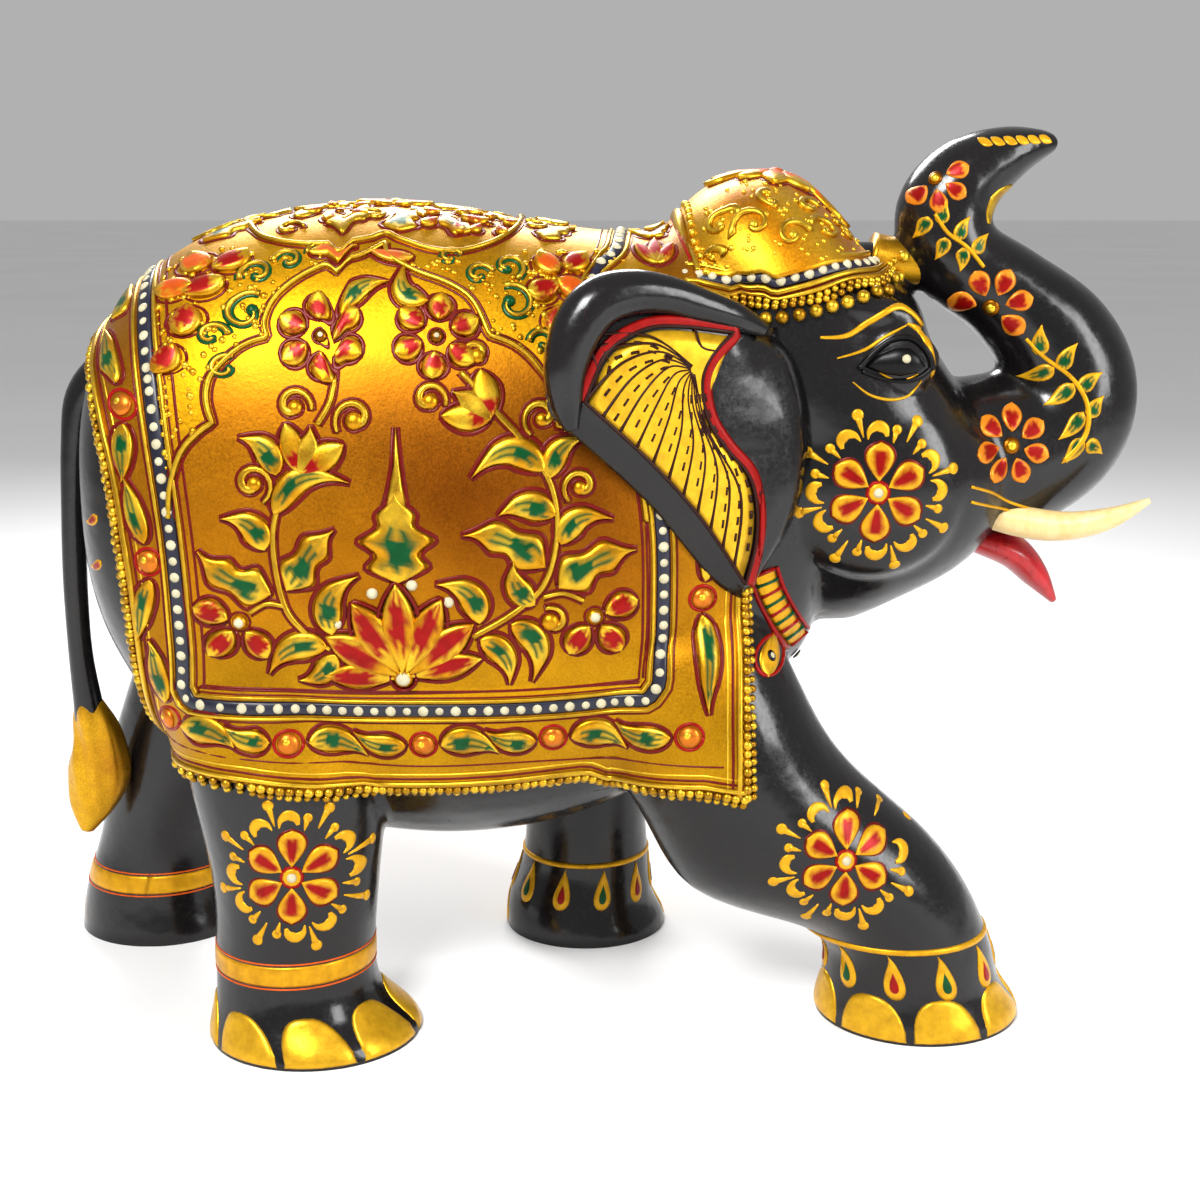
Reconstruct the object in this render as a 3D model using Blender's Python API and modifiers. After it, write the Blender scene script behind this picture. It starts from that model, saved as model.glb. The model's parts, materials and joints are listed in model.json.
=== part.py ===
"""Carved and painted elephant figurine, trunk raised, walking, with applied paste trappings.

The figure faces +X, its right side is -Y, and it stands on z = 0.  Every size is in
millimetres until MM turns it into Blender's metres.  The carving is lofted as one rough
form, smoothed the way a carver blends it, and then sawn into the blocks that are doweled
and glued together.  Thin paste layers are patches lifted off the same smooth form.
"""
import math

import bmesh
import bpy
from mathutils import Matrix, Vector

MM = 0.001
COLLECTION_NAME = "carved_wooden_elephant"
SIDES = (("right", -1), ("left", 1))

# ---- joints between pieces ------------------------------------------------------------
GAP = 0.3                       # clearance between pieces that touch
LEG_JOINT_Z = 44.0              # legs are let into the body below this height
NECK_POINT = (28.0, 0.0, 102.0)
NECK_LEAN = 16.5                # degrees that the neck joint leans back from vertical
NECK_CUT_DEPTH = 40.0            # the cut runs this far below its middle, clear of the legs
LEG_CUT_LOW = -5.0               # leg cutters start this far below the ground
REACH = 200.0                   # further than any point of the figure
DOWEL_R = 3.0
DOWEL_LOW, DOWEL_HIGH = 31.0, 56.0
NECK_DOWEL_R, NECK_DOWEL_HALF = 4.0, 12.0
EAR_DOWEL_R, EAR_DOWEL_IN, EAR_DOWEL_OUT = 1.5, 17.0, 29.0
EAR_DOWEL_X, EAR_DOWEL_Z = 30.0, 106.0

# ---- surface detail -------------------------------------------------------------------
VOXEL = 2.4                     # grain of the rough form before it is smoothed
SMOOTHING_STEPS = 5
BODY_TRIANGLES = 3000
RING_SIDES = 28
ROW_STEPS = 4                   # rows made between two stated sections

# ---- torso: (x, lowest z, highest z, half width), rump to chest -------------------------
TORSO_POWER = 2.5
TORSO = [(-93.5, 84, 109, 12), (-91.5, 74, 119.5, 21), (-87.0, 64, 127.5, 29),
         (-79.0, 52, 136, 34), (-67.0, 42, 142.5, 37), (-50.0, 34.5, 146.3, 38),
         (-32.0, 31.5, 146.5, 38), (-15.0, 32.5, 144, 37), (0.0, 36.5, 141.5, 35),
         (12.0, 43, 141.5, 32), (22.0, 51, 142.5, 29), (31.0, 60, 138, 26),
         (37.0, 67, 127, 21), (40.5, 75, 117, 14)]

# ---- head: (z, back x, front x, half width), chin to crown -------------------------------
HEAD_POWER = 2.2
HEAD = [(72.0, 38, 48, 6), (76.0, 33, 55, 13), (83.0, 28, 67, 19),
        (92.0, 24, 75, 23), (103.0, 22, 76, 25), (113.0, 20, 68, 25),
        (123.0, 17, 61, 24), (132.0, 14, 57, 22.5), (140.0, 13, 47.5, 20),
        (146.0, 15, 41, 16), (149.8, 20, 36, 10), (151.2, 25, 32, 4)]

# ---- trunk: (x, z, half thickness, half width), root to tip ------------------------------
TRUNK = [(64.0, 102.0, 14.5, 16), (75.0, 103.0, 15.0, 14.5), (84.0, 107.5, 13.8, 12.8),
         (86.5, 115.5, 12.6, 11.8), (82.5, 124.0, 11.2, 10.8), (73.0, 132.0, 9.2, 9.8),
         (64.5, 138.5, 8.8, 9.2), (62.6, 146.0, 9.4, 8.8), (66.8, 152.8, 8.0, 8.2),
         (74.0, 157.0, 4.8, 6.4), (81.6, 158.8, 1.6, 3.2)]
BRIDGE_Z, BRIDGE_R = 137.0, 4.2
BRIDGE_X = (44.0, 60.0)

# ---- legs: (x, y, z, lean in degrees, half length, half width), top to sole --------------
SOLE_OVERRUN = -3.0             # legs are lofted past the ground and cut flat on it
LEGS = {
    "front_right_leg": [(10, -18, 72, 20, 20, 16), (20, -20, 54, 38, 18.5, 16.5),
                        (30.3, -20.5, 38.5, 42, 18, 16), (49.5, -20, 25.5, 38, 14.5, 14.5),
                        (57, -19, 15, 5, 15.2, 14.5), (58.8, -18.5, 7, 0, 16.4, 16),
                        (60, -18.5, 1.5, 0, 18.5, 17.5),
                        (60, -18.5, SOLE_OVERRUN, 0, 18.5, 17.5)],
    "hind_right_leg": [(-60, -19, 78, 0, 20, 17), (-58, -22, 58, 0, 18.5, 16.5),
                       (-56, -24, 42, 0, 17, 15.5), (-55, -25.5, 28, 0, 15, 14.5),
                       (-55.8, -26, 15, 0, 14.5, 14.2), (-55.2, -26.5, 8, 0, 15.2, 15),
                       (-52.6, -27.5, 1.5, 0, 19, 17.3),
                       (-52.6, -27.5, SOLE_OVERRUN, 0, 19, 17.3)],
    "front_left_leg": [(-2, 18, 66, 0, 20, 16), (-3, 20, 45, 0, 16.5, 15),
                       (-3, 22.5, 28, 0, 12.8, 13), (-3, 23, 16, 0, 13, 12.8),
                       (-4, 22.5, 7, 0, 14.9, 14), (-3, 22.5, 1.5, 0, 16.5, 15.5),
                       (-3, 22.5, SOLE_OVERRUN, 0, 16.5, 15.5)],
    "hind_left_leg": [(-70, 17, 74, -15, 18, 16), (-78, 20, 54, -20, 16.5, 15.5),
                      (-86, 22, 36, -18, 15, 14.5), (-90.5, 24, 20, -8, 13.7, 13.5),
                      (-92.5, 24, 9, 0, 15.3, 14.5), (-92.3, 24, 1.5, 0, 16.8, 16),
                      (-92.3, 24, SOLE_OVERRUN, 0, 16.8, 16)],
}
# where each leg's block ends: (x from, x to, y from, y to), and its dowel's (x, y)
LEG_BLOCKS = {
    "front_right_leg": ((-2, 90, -60, -2), (28, -20)),
    "hind_right_leg": ((-77, -35, -60, -6), (-56, -24)),
    "front_left_leg": ((-24, 19, 6, 60), (-3, 21)),
    "hind_left_leg": ((-125, -62, 6, 60), (-82, 22)),
}

# ---- tail: (x, y, z, half thickness, half width), root to tuft ---------------------------
TAIL = [(-84, 0, 121, 3.4, 3.4), (-91, 0, 118.5, 3.6, 3.6), (-96, 0, 113, 3.3, 3.3),
        (-98, 0, 104, 2.7, 2.7), (-99.2, 0.5, 92, 2.4, 2.4), (-100.2, 1.5, 78, 2.3, 2.3),
        (-100.6, 3, 64, 2.3, 2.3), (-100.4, 5, 53, 2.8, 2.6), (-99.3, 7, 44.5, 5.0, 3.4),
        (-100, 8, 37.5, 6.2, 3.6), (-102, 8.5, 30.5, 4.4, 2.8), (-103.4, 9, 25, 1.3, 1.3)]

# ---- tusks and tongue: (x, y, z, half thickness, half width) ------------------------------
TUSK = [(70, 9, 93, 2.6, 2.6), (78, 11, 91.2, 2.9, 2.9), (85, 13, 91.2, 2.7, 2.7),
        (92, 14.8, 93.2, 2.0, 2.0), (98.5, 16, 96.6, 0.6, 0.6)]
TONGUE = [(66, 0, 88, 2.2, 6.0), (72, 0, 86.5, 3.0, 7.0), (78, 0, 84, 3.2, 6.5),
          (82.5, 0, 79.5, 2.5, 4.6), (86.3, 0, 74.5, 0.8, 1.6)]

# ---- ear: outline (x, z), seen from the side, and how far it stands out -------------------
EAR_OUTLINE = [(25, 82), (20.5, 84.5), (14.5, 91), (8.5, 98.5), (1, 107), (-6, 114.5),
               (-8, 121), (-7.5, 127.5), (-4.5, 133), (1, 135.5), (8, 134), (15, 131),
               (22, 128.5), (28, 124), (30, 116), (29.5, 106), (28.5, 95), (27.5, 86)]
EAR_FRONT_X, EAR_LENGTH = 27.0, 34.0
EAR_FRONT_Y, EAR_FLARE = 31.0, 12.5
EAR_THICK = 4.4
EAR_DISH = 0.6                  # the outer face is hollowed this much towards its middle
EAR_RINGS = (1.0, 0.7, 0.35)    # rings of the flap's faces, as shares of its outline
EAR_CLEAR = 3.7                 # the ear stands this far off the wood where cloth covers it
EAR_CLOTH_X, EAR_CLOTH_FADE = 26.0, 4.0
EAR_ROOT = [(30.5, 24.5, 88, 2.0, 3.0), (30.0, 25.5, 99, 3.4, 5.0),
            (29.5, 25.5, 112, 3.4, 5.0), (28.0, 25.0, 124, 2.0, 3.2)]

# ---- saddle cloth and its trims -----------------------------------------------------------
CLOTH_LOW, CLOTH_FRONT = 53.6, 22.6
CLOTH_BACK = ((-88.0, 0, 128.0), (-73.5, 0, 54.0))
CLOTH_LIFT, CLOTH_THICK = 0.5, 1.1
CLOTH_NECK = -1.2               # the cloth stops this far behind the neck joint
FRINGE_WIDE, FRINGE_THICK = 2.4, 1.7
FRINGE_END = ((24.0, 0, 80.0), (0.6, 0, 0.8))    # the front fringe ends under the ear
PEARL_LIFT, PEARL_THICK, PEARL_WIDE = 2.3, 0.6, 2.8
PEARL_LOW, PEARL_FRONT, PEARL_BACK = 64.6, 11.4, -72.4

# ---- head cap and necklace ------------------------------------------------------------------
CAP_LOW, CAP_FRONT = 136.6, 47.5
CAP_BACK = 0.6                  # the cap starts this far in front of the neck joint
CAP_THICK = 1.4
CAP_BAND_LOW, CAP_BAND_THICK = 134.0, 0.9
CAP_FRINGE_LOW, CAP_FRINGE_THICK = 131.2, 1.3
NECKLACE_FROM, NECKLACE_TO = -3.6, -0.9
NECKLACE_LOW, NECKLACE_TOP, NECKLACE_THICK = 66.0, 83.0, 0.8
NECKLACE_INNER = 8.0            # each side's band ends this far from the throat's middle

MATERIALS = {                   # colour, roughness, metallic
    "black_lacquer": ((0.02, 0.018, 0.02), 0.18, 0.0),
    "gold_paint": ((0.62, 0.37, 0.05), 0.35, 0.85),
    "bare_wood": ((0.55, 0.38, 0.22), 0.7, 0.0),
    "ivory_paint": ((0.78, 0.64, 0.4), 0.35, 0.0),
    "red_paint": ((0.5, 0.01, 0.02), 0.3, 0.0),
    "navy_paint": ((0.01, 0.012, 0.05), 0.4, 0.0),
}


# ---- helpers: meshes and objects -------------------------------------------------------------
def clear_scene():
    for item in list(bpy.data.objects):
        bpy.data.objects.remove(item, do_unlink=True)


def make_collections():
    parts = bpy.data.collections.new(COLLECTION_NAME)
    guides = bpy.data.collections.new("construction")
    bpy.context.scene.collection.children.link(parts)
    bpy.context.scene.collection.children.link(guides)
    return parts, guides


def make_materials():
    made = {}
    for name, (colour, roughness, metallic) in MATERIALS.items():
        material = bpy.data.materials.new(name)
        material.use_nodes = True
        shader = material.node_tree.nodes["Principled BSDF"]
        shader.inputs["Base Color"].default_value = (*colour, 1.0)
        shader.inputs["Roughness"].default_value = roughness
        shader.inputs["Metallic"].default_value = metallic
        made[name] = material
    return made


def add_object(name, mesh, collection, material=None):
    item = bpy.data.objects.new(name, mesh)
    collection.objects.link(item)
    if material:
        mesh.materials.clear()
        mesh.materials.append(material)
    return item


def add_guide(name, mesh, guides):
    item = add_object(name, mesh, guides)
    item.hide_render = True
    item.display_type = "WIRE"
    return item


def evaluated_copy(item):
    bpy.context.view_layer.update()
    graph = bpy.context.evaluated_depsgraph_get()
    return bpy.data.meshes.new_from_object(item.evaluated_get(graph))


def bmesh_of(mesh):
    work = bmesh.new()
    work.from_mesh(mesh)
    return work


def to_mesh(work, name):
    bmesh.ops.recalc_face_normals(work, faces=work.faces)
    mesh = bpy.data.meshes.new(name)
    work.to_mesh(mesh)
    work.free()
    return mesh


def inflated(mesh, lift, name):
    """A copy of a closed mesh with every point moved outward by lift, a number or a function."""
    work = bmesh_of(mesh)
    work.normal_update()
    moves = [(lift(v.co) if callable(lift) else lift) * MM * v.normal for v in work.verts]
    for vertex, move in zip(work.verts, moves):
        vertex.co += move
    return to_mesh(work, name)


# ---- helpers: lofts ---------------------------------------------------------------------------
def catmull(rows, steps):
    """Rows of numbers with smooth rows put between them."""
    smooth = []
    for index in range(len(rows) - 1):
        before = rows[max(index - 1, 0)]
        start, end = rows[index], rows[index + 1]
        after = rows[min(index + 2, len(rows) - 1)]
        for step in range(steps):
            t = step / steps
            smooth.append([0.5 * (2 * b + (c - a) * t + (2 * a - 5 * b + 4 * c - d) * t * t
                                  + (3 * b - a - 3 * c + d) * t ** 3)
                           for a, b, c, d in zip(before, start, end, after)])
    smooth.append(list(rows[-1]))
    return smooth


def superellipse(half_u, half_v, power, sides):
    points = []
    for index in range(sides):
        angle = 2 * math.pi * index / sides
        c, s = math.cos(angle), math.sin(angle)
        points.append((half_u * math.copysign(abs(c) ** (2 / power), c),
                       half_v * math.copysign(abs(s) ** (2 / power), s)))
    return points


def loft(sections, power=2.0, sides=RING_SIDES):
    """A closed solid through sections of (centre, u axis, v axis, half u, half v), in mm."""
    work = bmesh.new()
    rings = []
    for centre, u_axis, v_axis, half_u, half_v in sections:
        ring = [work.verts.new((Vector(centre) + u * Vector(u_axis) + v * Vector(v_axis)) * MM)
                for u, v in superellipse(half_u, half_v, power, sides)]
        rings.append(ring)
    for lower, upper in zip(rings, rings[1:]):
        for index in range(sides):
            after = (index + 1) % sides
            work.faces.new((lower[index], lower[after], upper[after], upper[index]))
    for ring in (rings[0], rings[-1]):
        tip = work.verts.new(sum((v.co for v in ring), Vector()) / sides)
        for index in range(sides):
            work.faces.new((ring[index], ring[(index + 1) % sides], tip))
    return to_mesh(work, "loft")


def torso_form():
    sections = []
    for x, low, high, half in catmull(TORSO, ROW_STEPS):
        sections.append(((x, 0, (low + high) / 2), (0, 1, 0), (0, 0, 1), half, (high - low) / 2))
    return loft(sections, TORSO_POWER)


def head_form():
    sections = []
    for z, back, front, half in catmull(HEAD, ROW_STEPS):
        sections.append((((back + front) / 2, 0, z), (1, 0, 0), (0, 1, 0),
                         (front - back) / 2, half))
    return loft(sections, HEAD_POWER)


def leg_form(rows):
    sections = []
    for x, y, z, lean, half_x, half_y in catmull(rows, ROW_STEPS):
        lean = math.radians(lean)
        sections.append(((x, y, z), (math.cos(lean), 0, math.sin(lean)), (0, 1, 0),
                         half_x, half_y))
    return loft(sections)


def tube_form(rows, sides=RING_SIDES, steps=ROW_STEPS):
    """A tube through (x, y, z, half thickness, half width), square to its own path."""
    smooth = catmull(rows, steps)
    sections = []
    for index, (x, y, z, thick, wide) in enumerate(smooth):
        before, after = smooth[max(index - 1, 0)], smooth[min(index + 1, len(smooth) - 1)]
        along = Vector(after[:3]) - Vector(before[:3])
        side = Vector((0, 1, 0))
        side = (side - side.project(along)).normalized()
        normal = along.cross(side).normalized()
        sections.append(((x, y, z), normal, side, thick, wide))
    return loft(sections, sides=sides)


def trunk_form():
    return tube_form([(x, 0, z, thick, wide) for x, z, thick, wide in TRUNK])


def cylinder_form(start, end, radius, sides=16):
    """A capped cylinder between two points, in mm."""
    start, end = Vector(start) * MM, Vector(end) * MM
    turn = (end - start).to_track_quat("Z", "Y").to_matrix().to_4x4()
    work = bmesh.new()
    bmesh.ops.create_cone(work, cap_ends=True, segments=sides, radius1=radius * MM,
                          radius2=radius * MM, depth=(end - start).length,
                          matrix=Matrix.Translation((start + end) / 2) @ turn)
    return to_mesh(work, "cylinder")


def box_form(low, high, matrix=Matrix.Identity(4)):
    low, high = Vector(low) * MM, Vector(high) * MM
    size = Matrix.Diagonal((high - low).to_4d())
    work = bmesh.new()
    bmesh.ops.create_cube(work, size=1.0, matrix=matrix @ Matrix.Translation((low + high) / 2)
                          @ size)
    return to_mesh(work, "box")


def drop_slivers(work):
    """Keeps the largest connected body of a bmesh and deletes what a cut left beside it."""
    seen, bodies = set(), []
    for face in work.faces:
        if face in seen:
            continue
        body, queue = [], [face]
        seen.add(face)
        while queue:
            current = queue.pop()
            body.append(current)
            near = {other for edge in current.edges for other in edge.link_faces} - seen
            seen |= near
            queue.extend(near)
        bodies.append(body)
    bodies.sort(key=lambda body: sum(face.calc_area() for face in body))
    for body in bodies[:-1]:
        bmesh.ops.delete(work, geom=body, context="FACES")


# ---- helpers: joining and cutting ---------------------------------------------------------------
def boolean(item, cutter_mesh, operation, guides):
    """Applies an exact Boolean of item with a mesh, and replaces item's mesh with the result."""
    cutter = add_guide(f"{item.name}_cutter", cutter_mesh, guides)
    modifier = item.modifiers.new("cut", "BOOLEAN")
    modifier.operation = operation
    modifier.solver = "EXACT"
    modifier.object = cutter
    result = bmesh_of(evaluated_copy(item))
    drop_slivers(result)
    item.modifiers.remove(modifier)
    item.data = to_mesh(result, item.name)
    bpy.data.objects.remove(cutter, do_unlink=True)


def carved_form(guides):
    """The whole carving as one smooth closed form standing on flat soles."""
    rough = bmesh.new()
    forms = [torso_form(), head_form(), trunk_form(),
             cylinder_form((BRIDGE_X[0], 0, BRIDGE_Z), (BRIDGE_X[1], 0, BRIDGE_Z), BRIDGE_R)]
    forms += [leg_form(rows) for rows in LEGS.values()]
    for form in forms:
        rough.from_mesh(form)
    item = add_guide("rough_form", to_mesh(rough, "rough"), guides)
    remesh = item.modifiers.new("blend", "REMESH")
    remesh.mode = "VOXEL"
    remesh.voxel_size = VOXEL * MM
    smooth = item.modifiers.new("sand", "SMOOTH")
    smooth.factor = 0.5
    smooth.iterations = SMOOTHING_STEPS
    dense = evaluated_copy(item)
    item.modifiers.clear()
    item.data = dense
    triangles = sum(len(face.vertices) - 2 for face in dense.polygons)
    thin = item.modifiers.new("thin", "DECIMATE")
    thin.ratio = BODY_TRIANGLES / triangles
    mesh = evaluated_copy(item)
    bpy.data.objects.remove(item, do_unlink=True)
    work = bmesh_of(mesh)
    geometry = work.verts[:] + work.edges[:] + work.faces[:]
    cut = bmesh.ops.bisect_plane(work, geom=geometry, plane_co=(0, 0, 0),
                                 plane_no=(0, 0, -1), clear_outer=True)
    rim = [edge for edge in cut["geom_cut"] if isinstance(edge, bmesh.types.BMEdge)]
    bmesh.ops.holes_fill(work, edges=rim, sides=0)
    bmesh.ops.triangulate(work, faces=[f for f in work.faces if len(f.verts) > 4])
    return to_mesh(work, "carved_form")


def patch(name, form, lift, thick, keep, window, parts, material):
    """A thin layer on the form: the area inside the keep planes, less the window's area.

    Planes are (point, outward normal) in mm; the layer starts at lift and is thick deep."""
    work = bmesh_of(inflated(form, lift, name))
    for point, normal in keep:
        geometry = work.verts[:] + work.edges[:] + work.faces[:]
        bmesh.ops.bisect_plane(work, geom=geometry, plane_co=Vector(point) * MM,
                               plane_no=normal, clear_outer=True)
    for point, normal in window:
        geometry = work.verts[:] + work.edges[:] + work.faces[:]
        bmesh.ops.bisect_plane(work, geom=geometry, plane_co=Vector(point) * MM,
                               plane_no=normal)
    if window:
        inner = [face for face in work.faces
                 if all((face.calc_center_median() - Vector(point) * MM).dot(Vector(normal)) < 0
                        for point, normal in window)]
        bmesh.ops.delete(work, geom=inner, context="FACES")
    bmesh.ops.dissolve_degenerate(work, dist=0.01 * MM, edges=work.edges)
    drop_slivers(work)
    mesh = bpy.data.meshes.new(name)
    work.to_mesh(mesh)
    work.free()
    item = add_object(name, mesh, parts, material)
    layer = item.modifiers.new("layer", "SOLIDIFY")
    layer.thickness = thick * MM
    layer.offset = 1.0
    return item


# ---- the pieces -----------------------------------------------------------------------------------
def neck_frame(shift=0.0):
    """A matrix whose X axis is the neck joint's normal, towards the head."""
    lean = Matrix.Rotation(-math.radians(NECK_LEAN), 4, "Y")
    return Matrix.Translation(Vector(NECK_POINT) * MM) @ lean @ Matrix.Translation((shift * MM, 0, 0))


def neck_plane(shift):
    frame = neck_frame(shift)
    return tuple(frame.translation / MM), tuple(frame.to_3x3() @ Vector((1, 0, 0)))


def make_blocks(form, parts, guides, materials):
    """Saws the carving into the head, the torso and four legs."""
    lacquer = materials["black_lacquer"]
    half = GAP / 2
    head = add_object("head", form.copy(), parts, lacquer)
    boolean(head, box_form((half, -REACH, -NECK_CUT_DEPTH), (REACH, REACH, REACH), neck_frame()),
            "INTERSECT", guides)
    torso = add_object("torso", form.copy(), parts, lacquer)
    blocks = {"head": head, "torso": torso}
    for name, ((x0, x1, y0, y1), _) in LEG_BLOCKS.items():
        leg = add_object(name, form.copy(), parts, lacquer)
        boolean(leg, box_form((x0, y0, LEG_CUT_LOW), (x1, y1, LEG_JOINT_Z)), "INTERSECT", guides)
        socket = box_form((x0 - GAP, y0 - GAP, LEG_CUT_LOW), (x1 + GAP, y1 + GAP, LEG_JOINT_Z + GAP))
        boolean(torso, socket, "DIFFERENCE", guides)
        blocks[name] = leg
    boolean(torso, box_form((-half, -REACH, -NECK_CUT_DEPTH - GAP), (REACH, REACH, REACH),
                            neck_frame()), "DIFFERENCE", guides)
    return blocks


def bore(blocks, names, start, end, radius, guides):
    for name in names:
        boolean(blocks[name], cylinder_form(start, end, radius), "DIFFERENCE", guides)


def make_dowels(blocks, parts, guides, materials):
    wood = materials["bare_wood"]
    for name, (_, (x, y)) in LEG_BLOCKS.items():
        add_object(f"{name}_dowel", cylinder_form((x, y, DOWEL_LOW), (x, y, DOWEL_HIGH), DOWEL_R),
                   parts, wood)
        bore(blocks, (name, "torso"), (x, y, DOWEL_LOW - GAP), (x, y, DOWEL_HIGH + GAP),
             DOWEL_R + GAP, guides)
    point, normal = (Vector(v) for v in neck_plane(0))
    reach = NECK_DOWEL_HALF
    add_object("neck_dowel", cylinder_form(point - normal * reach, point + normal * reach,
                                           NECK_DOWEL_R), parts, wood)
    reach += GAP
    bore(blocks, ("head", "torso"), point - normal * reach, point + normal * reach,
         NECK_DOWEL_R + GAP, guides)


def ear_form(side):
    """A flap between two curved faces inside the outline; it stands out more towards its back."""
    middle = Vector((sum(p[0] for p in EAR_OUTLINE), sum(p[1] for p in EAR_OUTLINE)))
    middle /= len(EAR_OUTLINE)
    outline = catmull(EAR_OUTLINE + EAR_OUTLINE[:1], 2)[:-1]
    work = bmesh.new()

    def place(x, z, proud):
        back = min(max((EAR_FRONT_X - x) / EAR_LENGTH, 0.0), 1.0)
        depth = EAR_FRONT_Y + EAR_FLARE * back ** 0.8 - EAR_THICK + proud
        return work.verts.new(Vector((x, side * depth, z)) * MM)

    faces = []
    for proud, dish in ((0.0, 0.0), (EAR_THICK, EAR_DISH)):
        rings = []
        for share in EAR_RINGS:
            rings.append([place(middle.x + (x - middle.x) * share,
                                middle.y + (z - middle.y) * share,
                                proud - dish * (1 - share)) for x, z in outline])
        centre = place(middle.x, middle.y, proud - dish)
        count = len(outline)
        for outer, inner in zip(rings, rings[1:]):
            for index in range(count):
                after = (index + 1) % count
                work.faces.new((outer[index], outer[after], inner[after], inner[index]))
        for index in range(count):
            work.faces.new((rings[-1][index], rings[-1][(index + 1) % count], centre))
        faces.append(rings[0])
    inner, outer = faces
    for index in range(len(outline)):
        after = (index + 1) % len(outline)
        work.faces.new((inner[index], inner[after], outer[after], outer[index]))
    return to_mesh(work, "ear")


def make_ears(form, blocks, parts, guides, materials):
    """Ears lie over the shoulders and are pinned to the head by a root that fits its side."""
    def clearance(co):
        near_head = min(max((co.x / MM - EAR_CLOTH_X) / EAR_CLOTH_FADE, 0.0), 1.0)
        return EAR_CLEAR + (GAP - EAR_CLEAR) * near_head

    for label, side in SIDES:
        name = f"{label}_ear"
        ear = add_object(name, ear_form(side), parts, materials["black_lacquer"])
        root = tube_form([(x, side * y, z, thick, wide) for x, y, z, thick, wide in EAR_ROOT],
                         sides=12, steps=2)
        boolean(ear, root, "UNION", guides)
        boolean(ear, inflated(form, clearance, "clearance"), "DIFFERENCE", guides)
        start = (EAR_DOWEL_X, side * EAR_DOWEL_IN, EAR_DOWEL_Z)
        end = (EAR_DOWEL_X, side * EAR_DOWEL_OUT, EAR_DOWEL_Z)
        add_object(f"{name}_dowel", cylinder_form(start, end, EAR_DOWEL_R, 12), parts,
                   materials["bare_wood"])
        start = (EAR_DOWEL_X, side * (EAR_DOWEL_IN - GAP), EAR_DOWEL_Z)
        end = (EAR_DOWEL_X, side * (EAR_DOWEL_OUT + GAP), EAR_DOWEL_Z)
        blocks[name] = ear
        bore(blocks, (name, "head"), start, end, EAR_DOWEL_R + GAP, guides)


def make_tail(blocks, parts, guides, materials):
    tail = tube_form(TAIL, sides=10, steps=2)
    blocks["tail"] = add_object("tail", tail, parts, materials["black_lacquer"])
    boolean(blocks["torso"], inflated(tail, GAP, "tail_socket"), "DIFFERENCE", guides)


def make_mouth(blocks, parts, guides, materials):
    for label, side in SIDES:
        name = f"{label}_tusk"
        tusk = tube_form([(x, side * y, z, a, b) for x, y, z, a, b in TUSK], sides=10, steps=2)
        blocks[name] = add_object(name, tusk, parts, materials["ivory_paint"])
        boolean(blocks["head"], inflated(tusk, GAP, "socket"), "DIFFERENCE", guides)
    tongue = tube_form(TONGUE, sides=12, steps=2)
    blocks["tongue"] = add_object("tongue", tongue, parts, materials["red_paint"])
    boolean(blocks["head"], inflated(tongue, GAP, "slot"), "DIFFERENCE", guides)


def cloth_back_plane(shift):
    (x0, _, z0), (x1, _, z1) = CLOTH_BACK
    along = Vector((x1 - x0, 0, z1 - z0)).normalized()
    normal = Vector((along.z, 0, -along.x))
    return Vector((x0, 0, z0)) + normal * shift, normal


def make_cloth(form, parts, materials):
    """The saddle cloth, the beaded fringe round its edge and the dark pearl band on it."""
    gold, navy = materials["gold_paint"], materials["navy_paint"]

    def frame(front, low, back):
        return [((front, 0, 0), (1, 0, 0)), ((0, 0, low), (0, 0, -1)),
                cloth_back_plane(back), neck_plane(CLOTH_NECK)]

    patch("saddle_cloth", form, CLOTH_LIFT, CLOTH_THICK, frame(CLOTH_FRONT, CLOTH_LOW, 0.0), [],
          parts, gold)
    wide = FRINGE_WIDE
    fringe_low, fringe_front = CLOTH_LOW - GAP, CLOTH_FRONT + GAP
    patch("saddle_fringe", form, CLOTH_LIFT, FRINGE_THICK,
          frame(fringe_front + wide, fringe_low - wide, GAP + wide) + [FRINGE_END],
          frame(fringe_front, fringe_low, GAP)[:3], parts, gold)
    narrow = PEARL_WIDE
    outer = [((PEARL_FRONT, 0, 0), (1, 0, 0)), ((0, 0, PEARL_LOW), (0, 0, -1)),
             ((PEARL_BACK, 0, 0), (-1, 0, 0))]
    inner = [((PEARL_FRONT - narrow, 0, 0), (1, 0, 0)), ((0, 0, PEARL_LOW + narrow), (0, 0, -1)),
             ((PEARL_BACK + narrow, 0, 0), (-1, 0, 0))]
    patch("pearl_band", form, PEARL_LIFT, PEARL_THICK, outer, inner, parts, navy)


def make_cap(form, parts, materials):
    """The embossed cap on the crown, its dark band and its bead fringe."""
    gold, navy = materials["gold_paint"], materials["navy_paint"]

    def zone(low, high):
        back, normal = neck_plane(CAP_BACK)
        planes = [((0, 0, low), (0, 0, -1)), (back, tuple(-Vector(normal))),
                  ((CAP_FRONT, 0, 0), (1, 0, 0))]
        if high:
            planes.append(((0, 0, high), (0, 0, 1)))
        return planes

    patch("head_cap", form, GAP, CAP_THICK, zone(CAP_LOW, None), [], parts, gold)
    for name, side in SIDES:
        half = [((0, 0, 0), (0, -side, 0))]
        patch(f"{name}_cap_band", form, GAP, CAP_BAND_THICK,
              zone(CAP_BAND_LOW, CAP_LOW - GAP) + half, [], parts, navy)
        patch(f"{name}_cap_fringe", form, GAP, CAP_FRINGE_THICK,
              zone(CAP_FRINGE_LOW, CAP_BAND_LOW - GAP) + half, [], parts, gold)


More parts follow.
